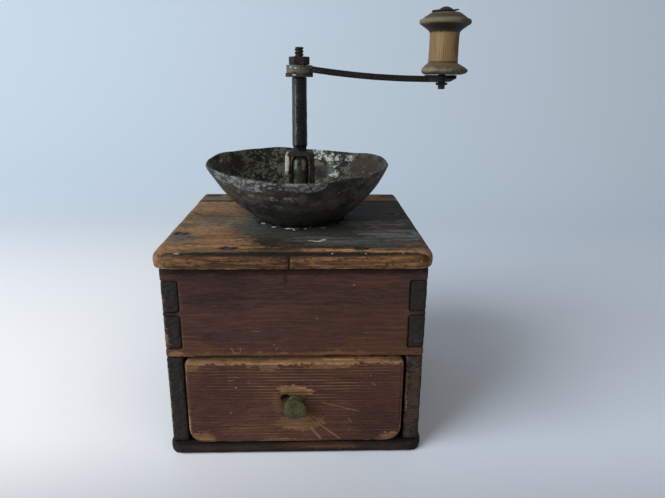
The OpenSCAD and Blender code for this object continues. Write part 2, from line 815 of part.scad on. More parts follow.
// Coarse spiral blades over a ring of fine teeth, on a hub that is pinned to the spindle
module cone_burr() {
  blade_z = cone_z + cone_fine_h;
  color(iron_grey) at_mill() difference() {
    union() {
      toothed_cone(cone_z, cone_fine_h + tiny, cone_fine_teeth, cone_low_r, cone_fine_top_r,
        cone_tooth, cone_twist / 6, 3);
      toothed_cone(blade_z, cone_top_z - blade_z, cone_blades, cone_fine_top_r, cone_top_r,
        blade_depth, cone_twist, 12);
      bar(2 * collar_hub_r, cone_z - collar_hub_h, collar_hub_h + tiny);
    }
    bar(burr_seat_dia + 2 * fastener_clear, cone_z - collar_hub_h - 1, cone_h + collar_hub_h + 2);
    burr_pin_hole();
  }
}

module burr_pin() {
  color(iron_dark) at_mill() translate([0, 0, burr_pin_z]) rotate([90, 0, 0])
    cylinder(d = burr_pin_dia, h = 2 * collar_hub_r - 0.6, center = true);
}

// Crank

module square_hole(z, h) {
  square_bar(square_w + 2 * fastener_clear, z, h);
}

module crank_collar() {
  color(iron_dark) at_mill() difference() {
    bar(2 * collar_r, collar_z, collar_t);
    square_hole(collar_z - 1, collar_t + 2);
  }
}

// The arm's plan, from inside the hub to the eye
module arm_plan() {
  polygon([
    [0, -arm_hub_w / 2], [crank_r, -arm_eye_w / 2], [crank_r, arm_eye_w / 2], [0, arm_hub_w / 2],
  ]);
  translate([crank_r, 0]) circle(eye_r);
}

// The arm's side view: a thin strip of a large circle
module arm_bow() {
  intersection() {
    translate([bow_low_x, bow_z]) difference() {
      circle(bow_r + arm_t / 2, $fn = 720);
      circle(bow_r - arm_t / 2, $fn = 720);
    }
    translate([hub_r * 0.6, hub_z - 4 * hub_h]) square([crank_r + eye_r, 6 * hub_h]);
  }
}

module crank_arm() {
  color(iron_dark) at_mill() difference() {
    union() {
      bar(2 * hub_r, hub_z, hub_h);
      intersection() {
        translate([0, 0, hub_z - 4 * hub_h]) linear_extrude(6 * hub_h) arm_plan();
        rotate([90, 0, 0]) linear_extrude(4 * eye_r, center = true) arm_bow();
      }
    }
    square_hole(hub_z - 1, hub_h + 2);
    translate([crank_r, 0, 0]) bar(bolt_dia + 2 * fastener_clear, arm_z(crank_r) - 2 * arm_t, 4 * arm_t);
  }
}

module crank_nut() {
  color(iron_dark) at_mill() difference() {
    translate([0, 0, nut_z]) cylinder(d = nut_corners, h = nut_h, $fn = 6);
    bar(thread_dia + 2 * fastener_clear, nut_z - 1, nut_h + 2);
  }
}

// Handle

module handle_bolt() {
  bolt_z = bolt_nut_z - bolt_tail;
  color(iron_dark) at_handle() {
    translate([0, 0, bolt_head_z]) dome(bolt_head_r, bolt_head_h);
    bar(bolt_dia, bolt_z, bolt_head_z - bolt_z + tiny);
  }
}

module handle_washer() {
  color(iron_dark) at_handle() difference() {
    bar(2 * washer_r, washer_z, washer_t);
    bar(bolt_dia + 2 * fastener_clear, washer_z - 1, washer_t + 2);
  }
}

module handle_nut() {
  color(iron_dark) at_handle() difference() {
    translate([0, 0, bolt_nut_z]) cylinder(r = bolt_nut_r, h = bolt_nut_h, $fn = 6);
    bar(bolt_dia + 2 * fastener_clear, bolt_nut_z - 1, bolt_nut_h + 2);
  }
}

// A turned spool: two bevelled flanges on a straight neck, bored for the bolt
module handle_spool() {
  bore_r = bolt_dia / 2 + running;
  crown_r = max(washer_r, spool_top_r - crown_inset);
  color(spool_tan) at_handle() translate([0, 0, spool_z]) rotate_extrude() polygon([
    [bore_r, 0],
    [spool_foot_r, 0],
    [spool_low_r - 0.7, 1.8],
    [spool_low_r, 2.6],
    [spool_low_r - 0.4, 3.4],
    [spool_neck_r, spool_low_h],
    [spool_neck_r, spool_h - spool_top_h],
    [spool_top_r - 0.4, spool_h - 7],
    [spool_top_r, spool_h - 5.6],
    [spool_top_r - 0.5, spool_h - 4.1],
    [(spool_top_r + crown_r) / 2, spool_h - 2.2],
    [crown_r, spool_h],
    [bore_r, spool_h],
  ]);
}

// Drawer

module drawer_pin_holes() {
  for (p = drawer_pin_spots, s = [-1, 1])
    translate([drawer_shift + s * drawer_wall_x, p[0], p[1]]) rotate([0, s * 90, 0])
      nail_hole(drawer_pin_dia, drawer_pin_len, 2 * drawer_pin_dia, drawer_pin_head_h, 0);
}

module at_drawer_knob() {
  translate([drawer_shift, drawer_face_y, drawer_mid_z]) rotate([90, 0, 0]) children();
}

module drawer_stem_hole() {
  at_drawer_knob() translate([0, 0, -drawer_front_t - 1])
    cylinder(d = drawer_stem_dia + 2 * fastener_clear, h = drawer_front_t + 2);
}

module drawer_front() {
  x0 = drawer_shift - drawer_w / 2;
  x1 = drawer_shift + drawer_w / 2;
  z1 = drawer_z + drawer_front_h;
  rebate_w = 2 * drawer_wall_t;
  rebate_x = drawer_wall_x - drawer_wall_t + rebate_w / 2;
  color(pine_red) difference() {
    hull() for (i = [0 : edge_steps]) {
      a = 90 * i / edge_steps;
      inset = drawer_edge_r * (1 - cos(a));
      y = drawer_face_y + drawer_edge_r * (1 - sin(a));
      thick = i == 0 ? drawer_front_t - drawer_edge_r : tiny;
      for (corner = [[drawer_low_r, drawer_z, 1], [drawer_high_r, z1, -1]], s = [-1, 1]) {
        r = corner[0] - inset;
        translate([s < 0 ? x0 + inset + r : x1 - inset - r, y + thick, corner[1] + corner[2] * (inset + r)])
          rotate([90, 0, 0]) cylinder(r = r, h = thick, $fn = 32);
      }
    }
    for (s = [-1, 1])
      translate([drawer_shift + s * rebate_x - rebate_w / 2, drawer_wall_y, drawer_z - 1])
        cube([rebate_w, drawer_front_t, drawer_wall_h + 1]);
    drawer_stem_hole();
    drawer_pin_holes();
  }
}

module drawer_side(s) {
  mid_x = drawer_shift + s * (drawer_wall_x - drawer_wall_t / 2);
  color(pine_inside) difference() {
    translate([mid_x - drawer_wall_t / 2, drawer_wall_y, drawer_z])
      cube([drawer_wall_t, drawer_back_y - drawer_wall_y, drawer_wall_h]);
    drawer_pin_holes();
  }
}

module drawer_cross_board(y0, t, z0, h) {
  half_w = drawer_wall_x - drawer_wall_t;
  difference() {
    translate([drawer_shift - half_w, y0, z0]) cube([2 * half_w, t, h]);
    drawer_pin_holes();
  }
}

module drawer_back() {
  color(pine_inside)
    drawer_cross_board(drawer_back_y - drawer_wall_t, drawer_wall_t, drawer_z, drawer_wall_h);
}

module drawer_bottom() {
  y0 = drawer_face_y + drawer_front_t;
  color(pine_inside)
    drawer_cross_board(y0, drawer_back_y - drawer_wall_t - y0, drawer_bottom_z, drawer_bottom_t);
}

module drawer_pins() {
  color(iron_dark) for (p = drawer_pin_spots, s = [-1, 1])
    translate([drawer_shift + s * drawer_wall_x, p[0], p[1]]) rotate([0, s * 90, 0])
      nail(drawer_pin_dia, drawer_pin_len, 2 * drawer_pin_dia, drawer_pin_head_h);
}

// A turned brass knob: a stem through the front, a small seat, a flaring neck and a low-domed face
module drawer_knob() {
  head_r = drawer_knob_dia / 2;
  seat_h = 1.5;
  face_h = 1.4;
  edge_h = 2;
  flare_h = drawer_knob_len - seat_h - edge_h - face_h;
  neck_z = seat_h + flare_h / 2;
  edge_z = seat_h + flare_h;
  neck_r = head_r * 0.62;
  color(brass_green) at_drawer_knob() {
    bar(drawer_stem_dia, -drawer_stem_len, drawer_stem_len + tiny);
    cylinder(r1 = head_r * 0.8, r2 = head_r * 0.68, h = seat_h);
    translate([0, 0, seat_h - tiny]) cylinder(r1 = head_r * 0.5, r2 = neck_r, h = flare_h / 2 + tiny);
    translate([0, 0, neck_z]) cylinder(r1 = neck_r, r2 = head_r, h = flare_h / 2);
    bar(2 * head_r, edge_z, edge_h);
    translate([0, 0, edge_z + edge_h]) dome(head_r, face_h);
  }
}

module drawer_knob_nut() {
  color(brass_green) at_drawer_knob() translate([0, 0, -drawer_front_t - knob_nut_h]) difference() {
    translate([-knob_nut_w / 2, -knob_nut_w / 2, 0]) cube([knob_nut_w, knob_nut_w, knob_nut_h]);
    translate([0, 0, -1]) cylinder(d = drawer_stem_dia + 2 * fastener_clear, h = knob_nut_h + 2);
  }
}

base_board();
side_board(-1);  // left_side
side_board(1);  // right_side
front_board();
back_board();
top_board();
top_back_strip();
top_nails();
base_nails();
hopper_bowl();
bowl_tacks();
hopper_screws();
bearing_bridge();
bridge_screws();
ring_burr();
ring_screws();
step_bar();
step_cup();
adjuster_screw();
spindle();
cone_burr();
burr_pin();
crank_collar();
crank_arm();
crank_nut();
handle_bolt();
handle_washer();
handle_nut();
handle_spool();
drawer_front();
drawer_side(-1);  // drawer_left_side
drawer_side(1);  // drawer_right_side
drawer_back();
drawer_bottom();
drawer_pins();
drawer_knob();
drawer_knob_nut();
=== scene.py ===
import math
import bpy
from mathutils import Matrix, Vector


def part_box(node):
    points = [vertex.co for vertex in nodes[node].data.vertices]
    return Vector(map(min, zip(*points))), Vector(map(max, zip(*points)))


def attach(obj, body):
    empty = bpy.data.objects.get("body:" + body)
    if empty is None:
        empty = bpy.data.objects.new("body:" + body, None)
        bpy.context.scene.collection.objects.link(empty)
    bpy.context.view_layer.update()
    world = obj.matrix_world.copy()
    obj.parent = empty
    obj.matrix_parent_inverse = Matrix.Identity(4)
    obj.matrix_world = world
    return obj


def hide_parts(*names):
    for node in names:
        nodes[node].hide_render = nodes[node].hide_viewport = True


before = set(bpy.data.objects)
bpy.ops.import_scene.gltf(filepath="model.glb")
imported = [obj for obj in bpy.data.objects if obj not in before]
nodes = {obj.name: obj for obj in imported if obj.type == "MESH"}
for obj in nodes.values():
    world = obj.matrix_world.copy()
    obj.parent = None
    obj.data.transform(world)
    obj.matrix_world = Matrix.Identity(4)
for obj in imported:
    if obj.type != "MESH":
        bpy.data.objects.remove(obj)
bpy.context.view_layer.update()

scene = bpy.context.scene
mm = 0.001
print("frame loaded:", len(nodes), "nodes")


# Camera, at the photograph's viewing angle
cameraSet = {
    "place": (0.01005545, -0.35946370, 0.21283532),
    "yaw": -0.03567997,
    "pitch": 0.30044583,
    "roll": 0.00960584,
    "focalPixels": 560,
    "imageWidth": 665,
    "sensor": 36,
}


def addCamera():
    view = bpy.data.cameras.new("camera")
    view.sensor_width = cameraSet["sensor"]
    view.lens = cameraSet["focalPixels"] / cameraSet["imageWidth"] * cameraSet["sensor"]
    eye = bpy.data.objects.new("camera", view)
    turn = Matrix.Rotation(cameraSet["yaw"], 4, "Z")
    turn = turn @ Matrix.Rotation(math.pi / 2 - cameraSet["pitch"], 4, "X")
    turn = turn @ Matrix.Rotation(cameraSet["roll"], 4, "Z")
    eye.matrix_world = Matrix.Translation(cameraSet["place"]) @ turn
    scene.collection.objects.link(eye)
    scene.camera = eye


addCamera()
print("camera set")


# Modelling helpers: the lengths they take are in mm
weldGap = {"copy": 0.005, "settle": 0.01}


def deselectAll():
    if bpy.context.mode != "OBJECT":
        bpy.ops.object.mode_set(mode="OBJECT")
    bpy.ops.object.select_all(action="DESELECT")


def activate(piece):
    deselectAll()
    piece.select_set(True)
    bpy.context.view_layer.objects.active = piece


def editAll(piece):
    activate(piece)
    bpy.ops.object.mode_set(mode="EDIT")
    bpy.ops.mesh.select_mode(type="VERT")
    bpy.ops.mesh.select_all(action="SELECT")


def selectVerts(piece, test):
    editAll(piece)
    bpy.ops.mesh.select_all(action="DESELECT")
    bpy.ops.object.mode_set(mode="OBJECT")
    for vert in piece.data.vertices:
        vert.select = test(vert.co / mm)
    bpy.ops.object.mode_set(mode="EDIT")


def namePiece(name):
    piece = bpy.context.object
    piece.name = name
    piece.data.name = name
    return piece


def boxOf(node):
    low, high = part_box(node)
    return low / mm, high / mm


def centreOf(node):
    low, high = boxOf(node)
    return (low + high) / 2


def outFrom(axis, place):
    return math.hypot(place.x - axis.x, place.y - axis.y)


def settle(piece):  # place into the mesh, normals outward
    editAll(piece)
    bpy.ops.mesh.remove_doubles(threshold=weldGap["settle"] * mm)
    bpy.ops.mesh.normals_make_consistent(inside=False)
    activate(piece)
    bpy.ops.object.transform_apply(location=True, rotation=True, scale=True)


def cutLevel(piece, height, up):  # drop what lies past a level, and close the cut
    editAll(piece)
    bpy.ops.mesh.bisect(plane_co=(0, 0, height * mm), plane_no=(0, 0, up), use_fill=True, clear_outer=True)
    activate(piece)


def modify(piece, kind, **settings):
    activate(piece)
    modifier = piece.modifiers.new(kind.lower(), kind)
    for key, value in settings.items():
        setattr(modifier, key, value)
    bpy.ops.object.modifier_apply(modifier=modifier.name)


def subdivide(piece, levels, kind="CATMULL_CLARK"):
    modify(piece, "SUBSURF", levels=levels, render_levels=levels, subdivision_type=kind)


def soften(piece, iterations, group=""):
    modify(piece, "SMOOTH", factor=0.5, iterations=iterations, vertex_group=group)


def weigh(piece, name, weight):  # a vertex group, with shares from 0 to 1
    group = piece.vertex_groups.new(name=name)
    for vert in piece.data.vertices:
        share = weight(vert.co / mm)
        if share > 0:
            group.add([vert.index], min(share, 1), "REPLACE")


def displace(piece, group, direction, amount, level=0, size=None):  # evenly, or in lumps of a size
    settings = {}
    if size:
        texture = bpy.data.textures.new("lumps", "CLOUDS")
        texture.noise_scale = size * mm
        settings = {"texture": texture, "texture_coords": "LOCAL"}
    modify(piece, "DISPLACE", strength=amount * mm, mid_level=level, vertex_group=group,
           direction=direction, **settings)


def pressIn(piece, size, depth, group="", direction="NORMAL"):  # dents, against the direction
    displace(piece, group, direction, depth, 1, size)


def turnRings(name, axis, rings, segments):  # rings are (radius, height)
    deselectAll()
    spot = axis.xy * mm
    radius, height = rings[0]
    bpy.ops.mesh.primitive_circle_add(vertices=segments, radius=radius * mm, location=(*spot, height * mm))
    piece = namePiece(name)
    bpy.ops.object.mode_set(mode="EDIT")
    bpy.ops.mesh.select_all(action="SELECT")
    for nextRadius, nextHeight in rings[1:]:
        rise = (0, 0, (nextHeight - height) * mm)
        bpy.ops.mesh.extrude_edges_move(TRANSFORM_OT_translate={"value": rise})
        grow = nextRadius / radius
        bpy.ops.transform.resize(value=(grow, grow, 1), center_override=(*spot, nextHeight * mm))
        radius, height = nextRadius, nextHeight
    settle(piece)
    return piece


def arcRings(middle, radius, start, end, steps):  # angles in degrees, round a point (radius, height)
    turns = [math.radians(start + (end - start) * i / steps) for i in range(steps + 1)]
    return [(middle[0] + radius * math.cos(a), middle[1] + radius * math.sin(a)) for a in turns]


def copyNode(node, name):
    piece = bpy.data.objects.new(name, nodes[node].data.copy())
    piece.data.materials.clear()
    scene.collection.objects.link(piece)
    editAll(piece)
    bpy.ops.mesh.remove_doubles(threshold=weldGap["copy"] * mm)
    activate(piece)
    return piece


def edgeWeight(node, reach):  # 1 on the edges of the node's box, 0 at reach from them
    low, high = boxOf(node)

    def weight(place):
        gaps = sorted(min(place[i] - low[i], high[i] - place[i]) for i in range(3))
        return 1 - gaps[1] / reach
    return weight


def wornCopy(node, name, wear):
    piece = copyNode(node, name)
    modify(piece, "REMESH", mode="VOXEL", voxel_size=wear["grid"] * mm)
    soften(piece, 1)
    if "edgeReach" in wear:
        weigh(piece, "edges", edgeWeight(node, wear["edgeReach"]))
        soften(piece, wear["edgeSoften"], "edges")
        pressIn(piece, wear["chipSize"], wear["chipDepth"], "edges")
    pressIn(piece, wear["dentSize"], wear["dentDepth"])
    return piece


def finishPiece(piece, body, materials, replaced=(), angle=None):
    activate(piece)
    for material in materials:
        piece.data.materials.append(material)
    if angle is None:
        bpy.ops.object.shade_smooth()
    else:
        bpy.ops.object.shade_smooth_by_angle(angle=math.radians(angle))
    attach(piece, body)
    if replaced:
        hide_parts(*replaced)


# Shader helpers: nodes go into the tree that was opened last
opened = []


class Value:  # a node's output, for use in sums
    def __init__(self, socket):
        self.socket = socket

    def __add__(self, other):
        return calc("ADD", self, other)

    def __sub__(self, other):
        return calc("SUBTRACT", self, other)

    def __rsub__(self, other):
        return calc("SUBTRACT", other, self)

    def __mul__(self, other):
        return calc("MULTIPLY", self, other)

    def __truediv__(self, other):
        return calc("DIVIDE", self, other)

    __radd__ = __add__


def link(value, socket):
    if isinstance(value, Value):
        opened[-1].links.new(value.socket, socket)
    elif socket.type == "RGBA":
        socket.default_value = (*value, 1)
    else:
        socket.default_value = value


def addNode(kind, inputs, **settings):
    node = opened[-1].nodes.new("ShaderNode" + kind)
    for key, value in settings.items():
        setattr(node, key, value)
    for key, value in inputs.items():
        link(value, node.inputs[key])
    return node


def put(kind, inputs, output=0, **settings):
    return Value(addNode(kind, inputs, **settings).outputs[output])


def split(kind, whole):
    return [Value(socket) for socket in addNode(kind, {0: whole}).outputs]


def calc(operation, *values):
    return put("Math", dict(enumerate(values)), operation=operation)


def vectorCalc(operation, *values):
    output = "Value" if operation in ("LENGTH", "DOT_PRODUCT") else "Vector"
    return put("VectorMath", dict(enumerate(values)), output, operation=operation)


def scaled(vector, factor):
    return put("VectorMath", {0: vector, "Scale": factor}, operation="SCALE")


def span(value, low, high):  # smooth step from 0 at low to 1 at high
    inputs = {"Value": value, "From Min": low, "From Max": high}
    return put("MapRange", inputs, interpolation_type="SMOOTHSTEP")


def stretch(place, factors):
    return put("Mapping", {"Vector": place, "Scale": factors})


def turnPlace(place, turn):
    return put("Mapping", {"Vector": place, "Rotation": turn})


def noise(place, scale, detail=2.0, rough=0.5):
    return put("TexNoise", {"Vector": place, "Scale": scale, "Detail": detail, "Roughness": rough})


def streaked(place, factors, detail=2.0, rough=0.5):
    return noise(stretch(place, factors), 1, detail, rough)


def blend(share, first, second):
    return put("Mix", {0: share, 6: first, 7: second}, 2, data_type="RGBA")


def newGroup(name, inputs):
    tree = bpy.data.node_groups.new(name, "ShaderNodeTree")
    opened.append(tree)
    for label, kind in inputs.items():
        tree.interface.new_socket(label, in_out="INPUT", socket_type="NodeSocket" + kind)
    given = tree.nodes.new("NodeGroupInput").outputs
    return [Value(given[label]) for label in inputs]


def closeGroup(**results):
    tree = opened[-1]
    for label in results:
        tree.interface.new_socket(label, in_out="OUTPUT", socket_type="NodeSocketFloat")
    ends = tree.nodes.new("NodeGroupOutput").inputs
    for label, value in results.items():
        link(value, ends[label])
    return tree


def useGroup(group, **inputs):
    outputs = addNode("Group", inputs, node_tree=group).outputs
    return {socket.name: Value(socket) for socket in outputs}


# Growth rings round a pith that runs along X, with fibres, tone, a break-up mask and finer marks.
# Each noise has its frequencies along and across the grain, its detail and its roughness.
grainSet = {
    "wander": ((7, 28, 28), 2, 0.5), "lasting": ((30, 480, 480), 4, 0.6), "fibre": ((90, 900, 900), 3, 0.65),
    "tone": ((14, 70, 70), 4, 0.6), "mottle": ((110, 420, 420), 6, 0.68), "streaks": ((45, 420, 420), 6, 0.7),
    "cracks": ((40, 760, 760), 4, 0.65), "flecks": ((300, 620, 620), 4, 0.65),
    "late": (0.3, 0.85), "crest": (0.62, 0.74), "fall": (1.0, 0.9), "weakest": 0.45, "fibreShare": 0.4,
    "lastingEdge": (0.36, 0.58), "streakEdge": (0.47, 0.57), "crackEdge": (0.57, 0.64),
    "fleckEdge": (0.54, 0.62),
}


def makeGrain():
    kinds = {"Place": "Vector", "Pith": "Vector", "Spacing": "Float", "Waver": "Float"}
    place, pith, spacing, waver = newGroup("pineGrain", kinds)

    def grained(name):
        return streaked(place, *grainSet[name])
    across = vectorCalc("MULTIPLY", vectorCalc("SUBTRACT", place, pith), (0, 1, 1))
    phase = ((grained("wander") - 0.5) * waver + vectorCalc("LENGTH", across)) / spacing
    part = calc("FRACT", phase)
    ring = put("TexWhiteNoise", {"W": calc("FLOOR", phase)}, noise_dimensions="1D")
    strength = ring * (1 - grainSet["weakest"]) + grainSet["weakest"]
    fall = span(part, *grainSet["fall"])
    lasting = span(grained("lasting"), *grainSet["lastingEdge"])
    fibre = grained("fibre")
    broken = grained("mottle") * (1 - grainSet["fibreShare"]) + fibre * grainSet["fibreShare"]
    return closeGroup(
        Rings=span(part, *grainSet["late"]) * fall * strength,
        Ridges=span(part, *grainSet["crest"]) * fall * strength * lasting,
        Fibre=fibre, Tone=grained("tone"), Break=broken - 0.5,
        Streaks=span(grained("streaks"), *grainSet["streakEdge"]),
        Cracks=span(grained("cracks"), *grainSet["crackEdge"]),
        Flecks=span(grained("flecks"), *grainSet["fleckEdge"]))


# Rubbing along the edges of a box, ragged
rubSet = {"noise": (110, 4, 0.65), "spread": 2.6, "least": -0.6, "edge": (1.1, 0.4)}


def makeEdgeRub():
    kinds = {"Place": "Vector", "Low": "Vector", "High": "Vector", "Width": "Float"}
    place, low, high, width = newGroup("edgeRub", kinds)
    inside = vectorCalc("MINIMUM", vectorCalc("SUBTRACT", place, low), vectorCalc("SUBTRACT", high, place))
    x, y, z = split("SeparateXYZ", inside)
    second = calc("MAXIMUM", calc("MINIMUM", x, y), calc("MINIMUM", calc("MAXIMUM", x, y), z))
    ragged = noise(place, *rubSet["noise"]) * rubSet["spread"] + rubSet["least"]
    return closeGroup(Rub=span(second / (ragged * width), *rubSet["edge"]))


# A ragged patch round a point
patchSet = {
    "outline": ((90, 190, 190), 8, 0.68), "fray": ((360, 760, 760), 3, 0.65), "frayShare": 0.6, "even": 0.8,
    "edge": (1.15, 0.7),
}


def makePatch():
    kinds = {"Place": "Vector", "Centre": "Vector", "Size": "Vector", "Ragged": "Float"}
    place, centre, size, ragged = newGroup("patch", kinds)
    away = vectorCalc("SUBTRACT", place, centre)
    distance = vectorCalc("LENGTH", vectorCalc("DIVIDE", away, size))
    fray = streaked(place, *patchSet["fray"]) * patchSet["frayShare"]
    uneven = fray + (streaked(place, *patchSet["outline"]) - patchSet["even"])
    return closeGroup(Mask=span(uneven * ragged + distance, *patchSet["edge"]))


# A broken scratch between two points
scratchSet = {"noise": (420, 3), "start": (0, 0.08), "end": (1, 0.85), "thin": 0.5, "edge": (1.1, 0.5),
              "leastReach": 0.01}


def makeScratch():
    kinds = {"Place": "Vector", "Start": "Vector", "End": "Vector", "Width": "Float"}
    place, start, end, width = newGroup("scratch", kinds)
    away = vectorCalc("SUBTRACT", place, start)
    line = vectorCalc("SUBTRACT", end, start)
    along = vectorCalc("DOT_PRODUCT", away, line) / vectorCalc("DOT_PRODUCT", line, line)
    distance = vectorCalc("LENGTH", vectorCalc("SUBTRACT", away, scaled(line, along)))
    ends = span(along, *scratchSet["start"]) * span(along, *scratchSet["end"])
    reach = ends * width * (noise(place, *scratchSet["noise"]) + scratchSet["thin"])
    return closeGroup(Mask=span(distance / (reach + scratchSet["leastReach"] * mm), *scratchSet["edge"]))


# Small scattered specks, with radii in shares of a cell
speckSet = {"least": 0.02, "spread": 0.12, "edge": (1.0, 0.6)}


def makeSpecks():
    place, scale, amount = newGroup("specks", {"Place": "Vector", "Scale": "Float", "Amount": "Float"})
    cells = addNode("TexVoronoi", {"Vector": place, "Scale": scale}).outputs
    chosen = split("SeparateColor", Value(cells["Color"]))
    size = chosen[1] * speckSet["spread"] + speckSet["least"]
    dot = span(Value(cells["Distance"]) / size, *speckSet["edge"])
    return closeGroup(Mask=dot * calc("LESS_THAN", chosen[0], amount))


# Flakes of old paint with crisp edges
flakeSet = {
    "broadScale": 0.28, "broadShare": 0.4, "fine": (5, 0.66), "none": 0.70, "gain": 0.4, "edge": (0, 0.03),
}


def makeFlakes():
    place, scale, amount = newGroup("flakes", {"Place": "Vector", "Scale": "Float", "Amount": "Float"})
    broad = noise(place, scale * flakeSet["broadScale"], 3) * flakeSet["broadShare"]
    level = broad + noise(place, scale, *flakeSet["fine"]) * (1 - flakeSet["broadShare"])
    start = flakeSet["none"] - amount * flakeSet["gain"]
    return closeGroup(Mask=span(level - start, *flakeSet["edge"]))


# Rust in broad clouds and small pits
rustSet = {
    "cloud": (5, 0.62), "cloudEdge": (0.38, 0.66),
    "pitScale": 6, "pits": (3, 0.6), "pitEdge": (0.42, 0.6), "grainScale": 22, "grain": (3, 0.7),
}


def makeRust():
    place, scale = newGroup("rust", {"Place": "Vector", "Scale": "Float"})
    return closeGroup(
        Cloud=span(noise(place, scale, *rustSet["cloud"]), *rustSet["cloudEdge"]),
        Pits=span(noise(place, scale * rustSet["pitScale"], *rustSet["pits"]), *rustSet["pitEdge"]),
        Grain=noise(place, scale * rustSet["grainScale"], *rustSet["grain"]))


grainGroup = makeGrain()
edgeRubGroup = makeEdgeRub()
patchGroup = makePatch()
scratchGroup = makeScratch()
specksGroup = makeSpecks()
flakesGroup = makeFlakes()
rustGroup = makeRust()
print("shared effects built")


def newMaterial(name):
    material = bpy.data.materials.new(name)
    material.use_nodes = True
    opened.append(material.node_tree)
    return material, put("TexCoord", {}, "Object")


def shade(material, inputs, height=None, relief=0):  # relief in mm
    shader = material.node_tree.nodes["Principled BSDF"]
    for key, value in inputs.items():
        link(value, shader.inputs[key])
    if height is not None:
        link(put("Bump", {"Height": height, "Distance": relief * mm}), shader.inputs["Normal"])


def inMetres(values):
    return tuple(value * mm for value in values)


def patch(place, centre, size, ragged):
    sizes = {"Centre": inMetres(centre), "Size": inMetres(size)}
    return useGroup(patchGroup, Place=place, **sizes, Ragged=ragged)["Mask"]


def shaded(colour, value, low, high):  # the colour times low to high as the value goes from 0.3 to 0.7
    inputs = {"Value": value, "From Min": 0.3, "From Max": 0.7, "To Min": low, "To Max": high}
    return scaled(colour, put("MapRange", inputs))


def gather(place, patches):  # the strongest of several patches, each (centre, size, ragged, strength)
    total = 0.0
    for centre, size, ragged, strength in patches:
        total = calc("MAXIMUM", patch(place, centre, size, ragged) * strength, total)
    return total


# Each mark is (tint, centre, size, ragged, strength, and how far streaks break it up)
def addMarks(place, colour, marks, streaks=1.0):
    for tint, centre, size, ragged, strength, streaky in marks:
        mask = patch(place, centre, size, ragged) * strength
        if streaky:
            mask = mask * (streaks * streaky + (1 - streaky))
        colour = blend(mask, colour, tint)
    return colour


def useGrain(place, look):
    return useGroup(grainGroup, Place=place, Pith=inMetres(look["pith"]), Spacing=look["spacing"] * mm,
                    Waver=look["waver"] * mm)


# Wood under worn paint or stain
def boardMaterial(name, node, look):
    material, place = newMaterial(name)
    grain = useGrain(turnPlace(place, look.get("grainTurn", (0, 0, 0))), look)
    rings, fibre, tone = grain["Rings"], grain["Fibre"], grain["Tone"]
    low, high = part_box(node)
    rub = useGroup(edgeRubGroup, Place=place, Low=low, High=high, Width=look["rubWidth"] * mm)["Rub"]
    wood = shaded(blend(rings * look["ringShow"], look["bare"], look["late"]), tone, *look["woodTone"])
    wood = shaded(wood, fibre, *look["woodFibre"])
    paint = blend(span(tone, *look["paintTone"]), look["paint"], look["deepPaint"])
    paint = shaded(paint, fibre, *look["paintFibre"])
    cover = look["cover"] + gather(place, look.get("covered", [])) - gather(place, look.get("bared", []))
    cover = cover - rub * look["rub"] - grain["Ridges"] * look["ridgeWear"] + grain["Break"] * look["fray"]
    covered = span(cover, *look["paintEdge"])
    colour = blend(span(cover, *look["stainEdge"]), wood, blend(rings, look["stain"], look["late"]))
    colour = blend(covered, colour, paint)
    colour = blend(span(grain["Break"], *look["darkEdge"]) * look["fibreDark"], colour, look["grime"])
    colour = blend(grain["Cracks"] * look["cracks"], colour, look["grime"])
    colour = addMarks(place, colour, look.get("marks", []), grain["Streaks"])
    for tint, start, end, width in look.get("scratches", []):
        start, end = inMetres(start), inMetres(end)
        mask = useGroup(scratchGroup, Place=place, Start=start, End=end, Width=width * mm)["Mask"]
        colour = blend(mask * look["scratchShow"], colour, tint)
    colour = blend(grain["Flecks"] * look["flecks"], colour, look["fleckTint"])
    specks = useGroup(specksGroup, Place=place, Scale=look["speckScale"], Amount=look["specks"])["Mask"]
    colour = blend(specks * look["speckShow"], colour, look["speckTint"])
    rough = covered * (look["paintRough"] - look["bareRough"]) + look["bareRough"]
    rough = rough + fibre * look["fibreRough"]
    height = covered * look["paintRise"] + fibre * look["fibreRise"] + rings * look["ringRise"]
    height = height + grain["Break"] * look["breakRise"]
    height = height - grain["Cracks"] * (look["crackFall"] * look["cracks"])
    inputs = {"Base Color": colour, "Roughness": rough, "Specular IOR Level": look["gloss"]}
    shade(material, inputs, height, look["relief"])
    return material


# What all the boards share
paintedPine = {
    "pith": (0, 40, -70), "spacing": 2.4, "waver": 4,
    "bare": (0.225, 0.122, 0.060), "late": (0.100, 0.043, 0.020), "ringShow": 0.85,
    "stain": (0.094, 0.041, 0.0195),
    "paint": (0.073, 0.033, 0.0258), "deepPaint": (0.045, 0.024, 0.0207),
    "cover": 1.0, "rub": 0.75, "rubWidth": 0.9, "ridgeWear": 0.3, "fray": 1.5, "cracks": 0.22,
    "grime": (0.012, 0.008, 0.006), "fibreDark": 0.4, "flecks": 0.16, "fleckTint": (0.125, 0.066, 0.040),
    "specks": 0.05, "speckTint": (0.24, 0.18, 0.13),
    "paintRough": 0.65, "bareRough": 0.75, "fibreRough": 0.15, "gloss": 0.1, "relief": 0.2,
    "woodTone": (0.65, 1.3), "woodFibre": (0.72, 1.3), "paintTone": (0.35, 0.68), "paintFibre": (0.7, 1.32),
    "paintEdge": (0.34, 0.66), "stainEdge": (-0.05, 0.42), "darkEdge": (0.0, -0.18),
    "scratchShow": 0.55, "speckScale": 260.0, "speckShow": 0.75,
    "paintRise": 0.35, "fibreRise": 0.45, "ringRise": 0.5, "breakRise": 0.8, "crackFall": 0.6,
}
# Near-black, for dark stains, joints and nail marks, and for painted shade under overhangs, in hollows and
# round the drawer knob
darkStainAndShade = (0.011, 0.010, 0.009)
tanWood = (0.25, 0.145, 0.070)
paleScuff = (0.20, 0.155, 0.118)
cream = (0.75, 0.68, 0.48)
# whiteGlint: painted highlights on the black crust round the bowl's foot
whiteGlint = (0.85, 0.86, 0.82)
print("board finish ready")

